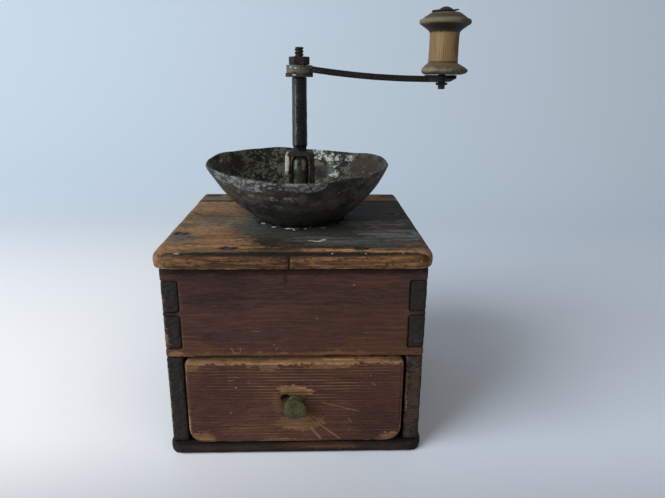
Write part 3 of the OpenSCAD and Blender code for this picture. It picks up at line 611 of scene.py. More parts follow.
frontLook = {
    **paintedPine, "cracks": 0.12, "fibreDark": 0.25,
    "bared": [
        ((0, -76, 60.0), (400, 14, 5.2), 1.6, 0.78),
        ((0, -76, 61.0), (400, 14, 7.4), 1.8, 0.46),
        ((52, -76, 68), (34, 10, 15), 1.2, 0.42),
        ((-63, -76, 66), (12, 10, 12), 1.2, 0.45),
        ((8, -76, 62), (60, 10, 9), 1.4, 0.3),
    ],
    "marks": [
        # painted shadow under the top board's overhang, along the front board's top
        (darkStainAndShade, (0, -76, 115.5), (400, 20, 5.5), 0.6, 0.7, 0.2),
        (darkStainAndShade, (-5, -76, 109), (1.0, 6, 6), 0.6, 0.6, 0),
        (darkStainAndShade, (-46, -76, 103), (24, 8, 9), 1.6, 0.35, 0.3),
        (tanWood, (-66.5, -76, 63.2), (5, 6, 1.8), 1.6, 0.75, 0.3),
        ((0.24, 0.18, 0.13), (32, -76, 104.5), (0.5, 4, 0.4), 0.6, 0.9, 0),
        ((0.22, 0.15, 0.10), (12, -76, 85), (0.6, 4, 0.5), 0.6, 0.9, 0),
        (darkStainAndShade, (-72, -76, 88), (9, 8, 3.4), 0.3, 0.85, 0),
        (darkStainAndShade, (72, -76, 88), (9, 8, 3.4), 0.3, 0.75, 0),
        ((0.20, 0.18, 0.15), (68, -76, 89.2), (7, 6, 0.5), 0.8, 0.8, 0),
        ((0.085, 0.036, 0.020), (40, -76, 78), (40, 8, 20), 1.4, 0.4, 0.7),
        ((0.24, 0.19, 0.15), (-12, -76, 69), (0.5, 4, 0.5), 0.6, 0.55, 0),
        ((0.24, 0.19, 0.15), (-10.5, -76, 66.4), (0.5, 4, 0.5), 0.6, 0.5, 0),
        # pale line along the lip: rubbed bare edge with a painted highlight
        ((0.33, 0.24, 0.185), (0, -76.5, 60.3), (400, 6, 1.6), 2.0, 0.72, 0.45),
    ],
    "scratches": [
        (paleScuff, (-36, -76, 67.4), (-33.8, -76, 63), 0.4),
        (paleScuff, (-33.8, -76, 63.4), (-31, -76, 64.4), 0.4),
        (paleScuff, (-30.9, -76, 67.8), (-30.5, -76, 64), 0.35),
        (paleScuff, (-23.6, -76, 77.2), (-19, -76, 77.2), 0.25),
        (darkStainAndShade, (-50, -76, 75.4), (-46, -76, 75.4), 0.4),
    ],
}
drawerLook = {
    **paintedPine,
    "bare": (0.30, 0.170, 0.085), "late": (0.105, 0.047, 0.021), "ringShow": 1.0,
    "paint": (0.077, 0.033, 0.0245), "deepPaint": (0.0475, 0.0235, 0.019), "stain": (0.124, 0.062, 0.035),
    "pith": (0, -20, -85), "spacing": 1.75, "waver": 1.8, "ridgeWear": 1.0, "rubWidth": 2.2, "rub": 1.0,
    "cracks": 0.3, "flecks": 0.22,
    "bared": [
        ((0, -78, 62.2), (400, 12, 5.2), 2.0, 0.98),
        ((-15, -78, 57.5), (7, 10, 4.5), 1.8, 0.75),
        ((17, -78, 58), (14, 10, 4), 1.8, 0.7),
        ((-58, -78, 58), (6, 10, 4.5), 1.8, 0.7),
        ((48, -78, 60), (14, 10, 3), 1.8, 0.7),
        ((-1, -78, 41), (11, 10, 4), 1.6, 0.9),
        ((1, -78, 20), (15, 10, 6), 2.0, 0.75),
        ((-10, -78, 34), (6, 10, 8), 1.6, 0.6),
        ((-24, -78, 17), (24, 10, 7), 2.0, 0.4),
        ((-5, -78, 7), (18, 10, 3), 1.4, 0.85),
        ((-55, -78, 9), (9, 10, 5), 1.6, 0.75),
        ((55, -78, 9), (8, 10, 5), 1.6, 0.75),
        ((0, -78, 46), (62, 10, 14), 1.4, 0.34),
        ((-30, -78, 30), (24, 10, 8), 1.4, 0.22),
    ],
    "marks": [
        # darkened inside the old hole beside the knob: grime and painted shade in its hollow
        (darkStainAndShade, (-5.4, -77, 36.2), (3.6, 4, 1.9), 0.5, 0.95, 0),
        # painted shadow round the drawer knob
        (darkStainAndShade, (-1, -78, 34), (9.5, 3, 8), 0.8, 0.45, 0),
        (darkStainAndShade, (45, -78, 20), (14, 8, 10), 1.6, 0.3, 0.3),
        # painted shadow line along the drawer's top, under the front board's lip
        (darkStainAndShade, (0, -78, 61.2), (400, 8, 1.4), 1.4, 0.6, 0.4),
        ((0.050, 0.022, 0.017), (-42, -78, 38), (20, 8, 18), 1.2, 0.55, 0),
        ((0.050, 0.022, 0.017), (46, -78, 36), (16, 8, 18), 1.4, 0.5, 0),
        (paleScuff, (-34, -78, 43.3), (0.7, 4, 0.7), 0.8, 0.75, 0),
        (paleScuff, (-37.6, -78, 27), (0.6, 4, 0.6), 0.8, 0.7, 0),
    ],
    "scratches": [
        (tanWood, (14, -78, 33.5), (38, -78, 26.6), 0.35),
        (tanWood, (12.6, -78, 19.5), (26.8, -78, 7.7), 0.6),
        (tanWood, (8, -78, 17), (15, -78, 8), 0.9),
        (tanWood, (30, -78, 23), (32.5, -78, 19.5), 0.3),
        (darkStainAndShade, (-60, -78, 36), (60, -78, 34.5), 0.25),
        (paleScuff, (-38, -78, 49.9), (-31, -78, 49.5), 0.3),
        (paleScuff, (-38.6, -78, 47.5), (-34.6, -78, 47.9), 0.45),
        (paleScuff, (43, -78, 45.4), (46, -78, 44), 0.3),
    ],
}
sideMarks = [
    ((0.019, 0.0185, 0.017), (0, -78, 58), (400, 6.5, 400), 0.25, 0.92, 0),
    # painted shadow under the top board's overhang
    (darkStainAndShade, (0, 0, 115), (400, 400, 4.5), 0.6, 0.5, 0.2),
    # darker towards the bottom of the sides
    (darkStainAndShade, (0, 20, 14), (400, 60, 14), 1.4, 0.45, 0.4),
]
sideLook = {
    **paintedPine,
    "grainTurn": (0, 0, math.pi / 2), "pith": (0, 30, -90), "spacing": 2.8, "waver": 5,
    "specks": 0.09, "flecks": 0.2, "fleckTint": (0.052, 0.050, 0.046),
    "cracks": 0.45,
    "bared": [
        ((0, 40, 30), (400, 22, 12), 1.8, 0.4),
        ((0, -30, 96), (400, 26, 9), 1.8, 0.35),
    ],
    "marks": sideMarks,
}
rightLook = {
    **sideLook,
    "marks": sideMarks + [
        (tanWood, (63.0, -76.5, 42), (1.4, 4, 20), 3.0, 0.8, 0.6),
        (tanWood, (64.0, -76.5, 30), (1.2, 4, 5), 3.0, 0.7, 0.3),
        ((0.075, 0.048, 0.028), (68, -77, 36), (5, 5, 26), 4.0, 0.6, 0),
    ],
}
leftLook = {
    **sideLook,
    "marks": sideMarks + [
        (tanWood, (-72.5, -76.5, 88), (2.0, 3, 11), 3.0, 0.75, 0.3),
        (tanWood, (-72.5, -76.5, 70), (2.2, 3, 9), 3.0, 0.75, 0.3),
        (tanWood, (-72.5, -76.5, 34), (1.2, 3, 24), 3.4, 0.65, 0.3),
    ],
}
backLook = {
    **paintedPine,
    "pith": (0, -30, -60), "spacing": 2.8, "waver": 5,
    "bared": [
        ((-30, 76, 70), (34, 12, 9), 1.8, 0.42),
        ((40, 76, 24), (26, 12, 8), 1.8, 0.42),
    ],
    # painted shadow under the top's overhang, along the back board's top
    "marks": [(darkStainAndShade, (0, 76, 115), (400, 20, 6), 0.5, 0.6, 0.2)],
}
baseLook = {
    **paintedPine,
    "paint": (0.018, 0.011, 0.0088), "deepPaint": (0.011, 0.0082, 0.0074), "pith": (0, -15, -90),
    "bare": (0.12, 0.062, 0.034), "rub": 0.15, "rubWidth": 1.0, "cracks": 0.6,
    "flecks": 0.2, "fleckTint": (0.052, 0.032, 0.024),
    "bared": [((14, -79, 5), (24, 6, 2.5), 1.8, 0.6)],
    "marks": [
        # painted shadow line along the top of the base's front, under the box
        (darkStainAndShade, (0, -79, 6.4), (400, 20, 1.6), 0.8, 0.7, 0),
        ((0.044, 0.025, 0.017), (0, -80, 3.6), (400, 6, 1.6), 2.2, 0.5, 0.8),
        (darkStainAndShade, (-74, -70, 4), (12, 30, 20), 1.0, 0.8, 0),
        (darkStainAndShade, (74, -70, 4), (12, 30, 20), 1.0, 0.8, 0),
    ],
}

topLook = {
    **paintedPine,
    "pith": (0, -30, 40), "spacing": 3.4, "waver": 9,
    "bare": (0.33, 0.182, 0.086), "late": (0.155, 0.070, 0.032), "ringShow": 0.7,
    "stain": (0.135, 0.075, 0.043),
    "paint": (0.048, 0.046, 0.037), "deepPaint": (0.022, 0.021, 0.017),
    "cover": 0.12, "rub": 0.2, "rubWidth": 2.5, "fray": 2.3, "cracks": 0.9,
    "flecks": 0.72, "fleckTint": (0.026, 0.021, 0.015), "fibreDark": 0.85, "specks": 0.08,
    "bareRough": 0.7, "paintRough": 0.68, "relief": 0.35,
    "covered": [
        ((40, 0, 123), (66, 78, 20), 0.9, 0.9),
        ((6, -20, 123), (44, 52, 20), 0.9, 0.85),
        ((-20, 30, 123), (24, 32, 20), 1.0, 0.6),
    ],
    "bared": [
        ((34, -72, 123), (60, 4, 6), 1.4, 0.6),
    ],
    "marks": [
        ((0.056, 0.026, 0.013), (0, -81, 116), (400, 5.5, 16), 0.5, 0.92, 0),
        ((0.19, 0.092, 0.041), (0, -80.6, 117), (400, 3, 7), 1.6, 0.82, 0.95),
        ((0.26, 0.125, 0.056), (52, -80.6, 117), (40, 3, 7), 1.8, 0.75, 0.7),
        ((0.26, 0.150, 0.070), (0, -80.4, 114.9), (400, 4, 0.9), 1.6, 0.7, 0.6),
        ((0.26, 0.150, 0.070), (-72, -76, 118), (10, 12, 12), 1.6, 0.6, 0.6),
        ((0.26, 0.150, 0.070), (70, -78, 116), (14, 12, 3), 1.6, 0.6, 0.6),
        ((0.31, 0.205, 0.130), (-50, -14, 123), (20, 20, 8), 2.2, 0.55, 0.4),
        ((0.066, 0.057, 0.049), (-52, -2, 123), (13, 17, 8), 2.0, 0.7, 0.3),
        (darkStainAndShade, (-67, -17, 123), (8, 5, 8), 2.4, 0.55, 0.4),
        ((0.075, 0.076, 0.076), (-66, -46, 123), (9, 14, 8), 2.4, 0.8, 0.3),
        ((0.092, 0.096, 0.076), (-29, -14, 123), (14, 28, 8), 1.8, 0.8, 0.3),
        ((0.058, 0.062, 0.048), (0, -30, 123), (46, 24, 8), 1.6, 0.6, 0.3),
        (darkStainAndShade, (-9, -72, 122), (16, 8, 8), 1.8, 0.85, 0.2),
        (darkStainAndShade, (-8, -58, 123), (20, 7, 8), 2.2, 0.6, 0.4),
        (darkStainAndShade, (-40, -72, 123), (26, 4, 6), 2.0, 0.5, 0.5),
        ((0.090, 0.038, 0.025), (52, -26, 123), (13, 10, 8), 2.2, 0.7, 0.3),
        ((0.080, 0.048, 0.034), (60, 6, 123), (14, 26, 8), 2.4, 0.6, 0.5),
        ((0.15, 0.156, 0.152), (60, -40, 123), (24, 14, 8), 2.4, 0.8, 0.7),
        ((0.14, 0.148, 0.145), (52, -14, 123), (26, 9, 8), 2.4, 0.75, 0.8),
        ((0.12, 0.128, 0.124), (26, -52, 123), (34, 9, 8), 2.4, 0.7, 0.8),
        ((0.27, 0.135, 0.056), (-49, -35, 123), (18, 10, 8), 2.0, 0.6, 0.3),
        ((0.25, 0.13, 0.056), (-44, 22, 123), (20, 10, 8), 2.0, 0.5, 0.3),
        # black crust round the bowl's foot, with painted contact shade on the board under its edge
        (darkStainAndShade, (1.5, 1, 123), (30, 30, 5), 0.8, 0.93, 0),
        ((0.20, 0.22, 0.23), (16, -24.7, 124), (2.2, 1.6, 4), 1.4, 0.7, 0),
        (whiteGlint, (-5, -27.1, 124), (3.6, 0.8, 5), 1.6, 0.95, 0),
        (whiteGlint, (-1.6, -29.2, 124), (0.8, 2.2, 5), 1.4, 0.95, 0),
        (whiteGlint, (5.2, -27.5, 124), (1.0, 0.7, 5), 1.0, 0.9, 0),
        (whiteGlint, (-14.5, -23.0, 124), (1.4, 0.7, 5), 1.4, 0.85, 0),
        (darkStainAndShade, (-36, -67.6, 123), (6, 3.2, 4), 1.6, 0.97, 0),
        (darkStainAndShade, (36, -67.6, 123), (5, 3.2, 4), 1.6, 0.97, 0),
        (darkStainAndShade, (-67.7, -38, 123), (5.5, 3.4, 4), 1.6, 0.97, 0),
        (darkStainAndShade, (67.7, 12, 123), (7, 4, 4), 1.6, 0.97, 0),
        (darkStainAndShade, (-2.8, -80, 117.5), (0.5, 4, 4.6), 0.3, 0.95, 0),
        # painted shade along the groove behind the top's front edge
        (darkStainAndShade, (-4, -76.6, 122.6), (74, 2.4, 4), 0.7, 0.95, 0),
        ((0.36, 0.34, 0.30), (-62, -76.4, 123), (1.6, 0.7, 3), 2.4, 0.7, 0),
        ((0.34, 0.31, 0.27), (20, -76.4, 123), (0.6, 0.5, 3), 1.0, 0.7, 0),
        ((0.34, 0.31, 0.27), (38, -76.4, 123), (0.5, 0.5, 3), 1.0, 0.7, 0),
        ((0.34, 0.31, 0.27), (58, -76.4, 123), (0.7, 0.5, 3), 1.0, 0.7, 0),
    ],
    "scratches": [
        (darkStainAndShade, (-40, -80.5, 117.6), (-20, -80.5, 117.0), 0.35),
        (darkStainAndShade, (20, -80.5, 116.6), (62, -80.5, 117.4), 0.35),
        (cream, (7, -52.3, 123), (14, -55.2, 123), 0.9),
        (cream, (12.4, -54.8, 123), (17.4, -49.6, 123), 1.6),
        (whiteGlint, (-23, -13.6, 124), (-20.4, -16.8, 124), 1.3),
    ],
}
stripLook = {
    **topLook,
    "pith": (0, 90, 60), "cover": 0.2,
    "covered": [((-10, 66, 123), (45, 30, 20), 1.2, 0.6)],
    "bared": [],
    "marks": [
        ((0.100, 0.104, 0.098), (-66, 62, 123), (16, 9, 8), 2.0, 0.75, 0.3),
        (darkStainAndShade, (-67.7, 71, 123), (7, 4, 4), 1.0, 0.9, 0),
        (darkStainAndShade, (67.7, 71, 123), (7, 4, 4), 1.0, 0.9, 0),
        (darkStainAndShade, (0, 52, 123), (400, 2.2, 8), 0.6, 0.7, 0),
    ],
    "scratches": [],
}
insideLook = {
    **paintedPine,
    "pith": (0, -40, -60), "spacing": 3.0,
    "bare": (0.34, 0.215, 0.115), "late": (0.22, 0.115, 0.055), "stain": (0.17, 0.095, 0.050),
    "paint": (0.11, 0.062, 0.034), "deepPaint": (0.06, 0.034, 0.02),
    "cover": 0.3, "rub": 0.1, "ridgeWear": 0.1, "fibreDark": 0.25, "bareRough": 0.8, "paintRough": 0.85,
    "covered": [((0, -4, 11), (70, 75, 7), 1.4, 0.35)],
}
insideSideLook = {**insideLook, "grainTurn": (0, 0, math.pi / 2)}


# Iron with rust, from a pale and a dark tone
def ironMaterial(name, look):
    material, place = newMaterial(name)
    rust = useGroup(rustGroup, Place=place, Scale=look["scale"])
    pits = rust["Pits"]
    colour = blend(rust["Cloud"], look["dark"], look["pale"])
    colour = blend(pits * look["rustShow"], colour, look["rust"])
    inputs = {
        "Base Color": addMarks(place, colour, look.get("marks", [])),
        "Roughness": pits * look["pitRough"] + look["rough"],
        "Metallic": look["metal"] - pits * look["metal"],
        "Specular IOR Level": look["gloss"],
    }
    shade(material, inputs, pits * look["pitRise"] + rust["Grain"] * look["grainRise"], look["relief"])
    return material


forgedLook = {
    "scale": 70.0, "dark": (0.010, 0.010, 0.0098), "pale": (0.034, 0.031, 0.027),
    "rust": (0.036, 0.022, 0.015),
    "rustShow": 0.7, "rough": 0.42, "pitRough": 0.22, "metal": 0.1, "gloss": 0.14, "relief": 0.22,
    "pitRise": 0.6, "grainRise": 0.5,
}
spindleLook = {
    **forgedLook, "scale": 90.0, "dark": (0.0035, 0.0042, 0.005), "pale": (0.008, 0.008, 0.008),
    "rust": (0.016, 0.014, 0.012), "rustShow": 0.2, "rough": 0.26, "metal": 0, "gloss": 0.25, "relief": 0.08,
    "marks": [
        # painted highlight down the spindle's left side
        ((0.040, 0.042, 0.041), (-2.4, -3.4, 194), (1.9, 4, 36), 1.0, 0.75, 0),
        ((0.16, 0.135, 0.10), (-1.0, -4, 196), (0.45, 4, 26), 4.0, 0.6, 0),
        ((0.090, 0.089, 0.070), (1.5, 1, 151), (9, 9, 15), 1.4, 0.8, 0),
        ((0.022, 0.020, 0.016), (2.6, -4, 151), (5, 5, 10), 3.4, 0.8, 0),
        ((0.34, 0.37, 0.33), (-2.4, -4, 157), (2.0, 4, 5), 3.2, 0.85, 0),
        ((0.30, 0.31, 0.26), (-3, -3.5, 147), (1.6, 4, 3), 3.2, 0.75, 0),
        ((0.22, 0.21, 0.16), (4.2, -4, 158), (1.4, 4, 3.5), 3.2, 0.7, 0),
        ((0.012, 0.011, 0.009), (1.2, -5, 160), (1.4, 4, 3), 2.0, 0.8, 0),
    ],
}
armLook = {
    **forgedLook, "scale": 120.0, "dark": (0.005, 0.0055, 0.006), "pale": (0.013, 0.0128, 0.0125),
    "rust": (0.023, 0.0165, 0.012), "rustShow": 0.55,
    "marks": [
        ((0.122, 0.108, 0.090), (0, 0, 216), (12, 13, 5), 2.2, 0.8, 0),
        ((0.22, 0.12, 0.06), (-3.9, -5, 215.3), (1.6, 4, 0.8), 1.4, 0.7, 0),
        # painted highlights on the hub's front upper edge
        ((0.42, 0.38, 0.32), (-3.6, -5, 217.4), (0.7, 4, 0.5), 0.8, 0.85, 0),
        ((0.42, 0.38, 0.32), (-0.7, -6, 217.0), (0.8, 4, 0.5), 0.8, 0.8, 0),
    ],
}
collarLook = {
    **forgedLook, "scale": 150.0, "pale": (0.066, 0.058, 0.048), "rust": (0.045, 0.029, 0.022),
    # painted highlight on the collar's front edge
    "marks": [((0.38, 0.34, 0.28), (-1.4, -6.5, 213.0), (1.5, 4, 0.45), 0.8, 0.8, 0)],
}
nutLook = {**forgedLook, "dark": (0.009, 0.008, 0.007), "pale": (0.026, 0.020, 0.016)}
boltLook = {**forgedLook, "scale": 120.0, "rust": (0.055, 0.027, 0.015)}
fastenerLook = {**forgedLook, "scale": 160.0, "dark": (0.010, 0.0095, 0.009), "pale": (0.028, 0.026, 0.023)}
tackLook = {**fastenerLook, "scale": 420.0, "pale": (0.075, 0.076, 0.070), "rustShow": 0.8}
burrLook = {
    **forgedLook, "scale": 90.0, "dark": (0.085, 0.080, 0.075), "pale": (0.20, 0.195, 0.185),
    "rust": (0.085, 0.052, 0.034), "rustShow": 0.45, "metal": 0.7, "rough": 0.38, "gloss": 0.4,
}
bridgeLook = {
    **forgedLook, "scale": 95.0, "dark": (0.010, 0.009, 0.007), "pale": (0.030, 0.024, 0.018),
    "rust": (0.034, 0.031, 0.023), "rough": 0.55,
    "marks": [
        # pale paint on the left leg, with a painted highlight on it
        ((0.56, 0.54, 0.46), (-7.2, -5, 160), (2.2, 9, 7.5), 1.4, 0.92, 0),
        ((0.13, 0.135, 0.115), (-7, -7, 148), (2.6, 4, 6), 4.0, 0.7, 0),
        ((0.24, 0.22, 0.14), (7.3, -7, 158), (0.7, 3, 7), 1.6, 0.8, 0),
        # painted shade on the right leg
        ((0.014, 0.010, 0.0075), (10, -5, 150), (2.8, 6, 18), 1.6, 0.9, 0),
    ],
}
brassLook = {
    **forgedLook, "scale": 140.0, "dark": (0.046, 0.043, 0.018), "pale": (0.105, 0.092, 0.042),
    "rust": (0.030, 0.040, 0.022), "rustShow": 0.6, "metal": 0.45, "rough": 0.45, "relief": 0.1,
}


# Sheet iron of the bowl, dark and rusty under what is left of its pale paint
def bowlMaterial(name, look):
    material, place = newMaterial(name)
    flattened = stretch(place, look["flakeStretch"])
    rust = useGroup(rustGroup, Place=flattened, Scale=look["scale"])

    def flaked(scale, amount):
        return useGroup(flakesGroup, Place=flattened, Scale=scale, Amount=amount)["Mask"]
    colour = blend(rust["Cloud"], look["dark"], look["brown"])
    colour = blend(flaked(look["blotchScale"], look["blotches"]) * look["blotchShow"], colour, look["olive"])
    colour = addMarks(place, colour, look["marks"])
    flakes = flaked(look["flakeScale"], gather(place, look["flaked"]))
    shadows = span(noise(place, *look["flakeNoise"]), *look["shadeEdge"])
    colour = blend(flakes * look["flakeShow"], colour, blend(shadows, look["flakeTint"], look["flakeShade"]))
    colour = blend(span(rust["Grain"], *look["gritEdge"]) * look["grit"], colour, look["dark"])
    rough = rust["Pits"] * look["pitRough"] + look["rough"]
    height = flakes * look["flakeRise"] + rust["Pits"] * look["pitRise"] + rust["Grain"] * look["grainRise"]
    inputs = {"Base Color": colour, "Roughness": rough, "Specular IOR Level": look["gloss"]}
    shade(material, inputs, height, look["relief"])
    return material


bowlOutsideLook = {
    "scale": 60.0, "dark": (0.027, 0.0268, 0.0245), "brown": (0.077, 0.060, 0.048),
    "olive": (0.083, 0.087, 0.078), "blotches": 0.46, "blotchScale": 160.0, "blotchShow": 0.85,
    "marks": [
        # darker towards the bowl's foot
        (darkStainAndShade, (1, -30, 125), (60, 60, 4), 0.8, 0.4, 0),
        ((0.075, 0.048, 0.032), (-40, -28, 145), (10, 12, 5), 1.8, 0.75, 0),
        ((0.050, 0.034, 0.025), (-14, -50, 149), (16, 10, 2.5), 2.0, 0.6, 0),
        ((0.037, 0.041, 0.036), (10, -34, 133), (30, 20, 6), 1.6, 0.6, 0),
    ],
    "flaked": [
        ((-42, -38, 156), (14, 14, 4.8), 1.4, 0.68),
        ((-28, -47, 153.5), (17, 12, 4.8), 1.4, 0.68),
        ((-11, -54, 154), (12, 8, 3.2), 1.2, 0.62),
        ((7, -55, 153.5), (13, 8, 3.4), 1.0, 0.72),
        ((-9, -49.4, 146), (12, 8, 1.8), 1.4, 0.55),
        ((-24, -44.5, 146), (6, 6, 2), 1.6, 0.5),
        ((42, -40, 158), (5, 6, 1.6), 1.6, 0.6),
        ((40, 34, 150), (26, 26, 6), 1.2, 0.52),
        ((-20, 50, 150), (30, 20, 6), 1.2, 0.52),
        ((0, 0, 146), (80, 80, 20), 0.5, 0.27),
    ],
    "flakeStretch": (1, 1, 1.8), "flakeScale": 300.0, "flakeShow": 0.9, "grit": 0.6,
    "flakeTint": (0.25, 0.27, 0.262), "flakeShade": (0.09, 0.092, 0.083),
    "flakeNoise": (420, 4), "shadeEdge": (0.4, 0.6), "gritEdge": (0.56, 0.66),
    "rough": 0.55, "pitRough": 0.25, "gloss": 0.12,
    "relief": 0.35, "flakeRise": 0.7, "pitRise": 0.4, "grainRise": 0.3,
}
bowlInsideLook = {
    **bowlOutsideLook,
    "scale": 75.0, "blotches": 0.51, "blotchScale": 400.0,
    "dark": (0.012, 0.011, 0.0085), "brown": (0.032, 0.027, 0.020), "olive": (0.107, 0.109, 0.086),
    "marks": [
        ((0.050, 0.036, 0.026), (48, 28, 151), (14, 26, 9), 0.9, 0.92, 0),
        ((0.020, 0.0175, 0.013), (-43, 35, 152), (5.5, 9, 9), 1.0, 0.95, 0),
        ((0.018, 0.016, 0.0125), (15, 48, 145), (9, 9, 5), 1.4, 0.75, 0),
        ((0.020, 0.018, 0.014), (-52, 10, 150), (8, 18, 9), 1.2, 0.6, 0),
    ],
    "flaked": [
        ((14, 57, 156.5), (8, 7, 4.5), 1.2, 0.57),
        ((26, 52, 155.8), (12, 8, 4.0), 1.2, 0.62),
        ((37, 45, 156.0), (6, 6, 3.0), 1.2, 0.62),
        ((26, 44.5, 144.3), (5.5, 6, 3), 1.2, 0.66),
        ((46.7, 29.9, 150.4), (1.4, 2, 1.0), 0.8, 0.8),
        ((-49.3, 30.4, 155.7), (2.6, 4, 4), 1.2, 0.66),
        ((-55, 20, 157.5), (4, 6, 2), 1.2, 0.6),
        ((0, 0, 141), (80, 80, 26), 0.5, 0.27),
    ],
    "flakeStretch": (1, 1, 1.3), "flakeScale": 330.0,
    "flakeTint": (0.42, 0.45, 0.41), "flakeShade": (0.12, 0.125, 0.108),
}
bowlRimLook = {
    **bowlOutsideLook,
    "brown": (0.060, 0.046, 0.034), "marks": [],
    "flaked": [((0, 0, 155), (90, 90, 40), 0.5, 0.5)],
    "flakeTint": (0.20, 0.185, 0.15), "flakeShade": (0.11, 0.10, 0.08),
}


# Turned wood of the handle, bright where hands rub it, with painted shade under the upper flange, in the
# groove over the foot and down its right side. Bands are in mm from the spool's axis or middle.
spoolLook = {
    "pith": (0, 12, 30), "spacing": 1.1, "waver": 1.2,
    "pale": (0.225, 0.148, 0.066), "deep": (0.082, 0.047, 0.019),
    "grey": (0.064, 0.062, 0.042), "rim": (0.165, 0.138, 0.082), "dirtAndShade": (0.012, 0.010, 0.008),
    "ringShow": 0.3, "tone": (0.7, 1.2), "lineEdge": (0.52, 0.35), "lineShow": 0.5, "cracks": 0.4,
    "edgeNoise": (320, 5, 0.65), "edgeReach": 6, "evener": 0.3,
    "flangeStart": (10.0, 11.2), "flangeShow": 0.85, "rimStart": (14.2, 15.4), "rimShow": 0.6,
    "underLow": (5.8, 7.0), "underHigh": (11.8, 10.4), "underShadeShow": 0.85,
    "creaseHigh": (-9.8, -10.4), "creaseLow": (-12.2, -11.2), "creaseShadeShow": 0.6,
    "crownLow": (13.8, 15.2), "crownOut": (14.2, 12.6), "crownShow": 0.6,
    "speckScale": 420.0, "specks": 0.12, "speckShow": 0.7,
    "rough": 0.48, "fibreRough": 0.2, "gloss": 0.2, "relief": 0.06,
    "marks": [
        # painted shade down the spool's right side: neck, foot and flange
        ((0.062, 0.042, 0.020), (100, -3, 231), (6.5, 12, 10), 0.8, 0.6, 0),
        ((0.020, 0.016, 0.012), (101, -7, 217), (7, 10, 4), 3.4, 0.6, 0),
        ((0.020, 0.016, 0.012), (102, -6, 244), (7, 10, 4), 3.4, 0.6, 0),
        ((0.26, 0.17, 0.075), (78, -8, 216.6), (5, 8, 1.8), 2.2, 0.5, 0),
        ((0.24, 0.13, 0.055), (76, -6, 243.6), (3, 8, 1.6), 1.8, 0.4, 0),
    ],
}


def spoolMaterial(name, look):
    material, place = newMaterial(name)
    centred = put("Mapping", {"Vector": place, "Location": inMetres(-centreOf("handle_spool"))})
    grain = useGrain(turnPlace(centred, (0, math.pi / 2, 0)), look)
    colour = blend(grain["Rings"] * look["ringShow"], look["pale"], look["deep"])
    colour = shaded(colour, grain["Tone"], *look["tone"])
    colour = blend(span(grain["Fibre"], *look["lineEdge"]) * look["lineShow"], colour, look["deep"])
    colour = blend(grain["Cracks"] * look["cracks"], colour, look["deep"])
    up = split("SeparateXYZ", centred)[2] / mm
    out = vectorCalc("LENGTH", vectorCalc("MULTIPLY", centred, (1, 1, 0))) / mm
    uneven = (noise(centred, *look["edgeNoise"]) - 0.5) * look["edgeReach"]
    little = uneven * look["evener"]
    ragged = out + uneven
    # painted shade under the upper flange and in the groove over the foot; the crown is darkened with dirt
    under = span(up + little, *look["underLow"]) * span(up, *look["underHigh"])
    crease = span(up, *look["creaseHigh"]) * span(up, *look["creaseLow"])
    crown = span(up, *look["crownLow"]) * span(ragged, *look["crownOut"])
    colour = blend(span(out + little, *look["flangeStart"]) * look["flangeShow"], colour, look["grey"])
    colour = blend(span(ragged, *look["rimStart"]) * look["rimShow"], colour, look["rim"])
    for mask, show in ((under, "underShadeShow"), (crease, "creaseShadeShow"), (crown, "crownShow")):
        colour = blend(mask * look[show], colour, look["dirtAndShade"])
    colour = addMarks(place, colour, look["marks"])
    specks = useGroup(specksGroup, Place=place, Scale=look["speckScale"], Amount=look["specks"])["Mask"]
    inputs = {
        "Base Color": blend(specks * look["speckShow"], colour, look["dirtAndShade"]),
        "Roughness": grain["Fibre"] * look["fibreRough"] + look["rough"],
        "Specular IOR Level": look["gloss"],
    }
    shade(material, inputs, grain["Fibre"] + grain["Rings"], look["relief"])
    return material


# Stage, in metres: pale cloth-white floor that sweeps up into a backdrop, the floor brighter on the left,
# with painted light falloff and painted shade towards the right and the front
stageSet = {
    "half": 4.0, "back": 0.45, "front": -4.0, "sweep": 0.6, "wall": 3.0, "steps": 16,
    "left": (0.57, 0.655, 0.745), "right": (0.60, 0.69, 0.80), "wallAcross": (-0.6, 0.9),
    "floorLitLeft": (0.90, 0.87, 0.88), "floorShadedRight": (0.62, 0.67, 0.76), "floorAcross": (-0.22, 0.14),
    "floorShadedFront": (0.41, 0.41, 0.455), "frontDepth": (-0.05, -0.19), "wallDepth": (0.0, 0.7),
    "rough": 0.9, "gloss": 0.1,
}


def extrude(move):
    bpy.ops.mesh.extrude_edges_move(TRANSFORM_OT_translate={"value": move})


def addStage():
    deselectAll()
    back, front, radius, steps = (stageSet[key] for key in ("back", "front", "sweep", "steps"))
    bpy.ops.mesh.primitive_plane_add(size=2)
    floor = namePiece("floor")
    floor.scale = (stageSet["half"], (back - front) / 2, 1)
    floor.location = (0, (back + front) / 2, 0)
    bpy.ops.object.transform_apply(location=True, rotation=True, scale=True)
    selectVerts(floor, lambda place: place.y > 0)
    turns = [math.radians(90 * i / steps) for i in range(steps + 1)]
    for start, end in zip(turns, turns[1:]):
        extrude((0, radius * (math.sin(end) - math.sin(start)), radius * (math.cos(start) - math.cos(end))))
    extrude((0, 0, stageSet["wall"]))
    activate(floor)
    bpy.ops.object.shade_smooth()
    material, place = newMaterial("paleCloth")
    across, deep = split("SeparateXYZ", place)[:2]
    wall = blend(span(across, *stageSet["wallAcross"]), stageSet["left"], stageSet["right"])
    # painted light on the floor: lit on the left, painted shade towards the right and the front
    ground = blend(span(across, *stageSet["floorAcross"]), stageSet["floorLitLeft"], stageSet["floorShadedRight"])
    ground = blend(span(deep, *stageSet["frontDepth"]), ground, stageSet["floorShadedFront"])
    colour = blend(span(deep, *stageSet["wallDepth"]), ground, wall)
    inputs = {"Base Color": colour, "Roughness": stageSet["rough"], "Specular IOR Level": stageSet["gloss"]}
    shade(material, inputs)
    floor.data.materials.append(material)


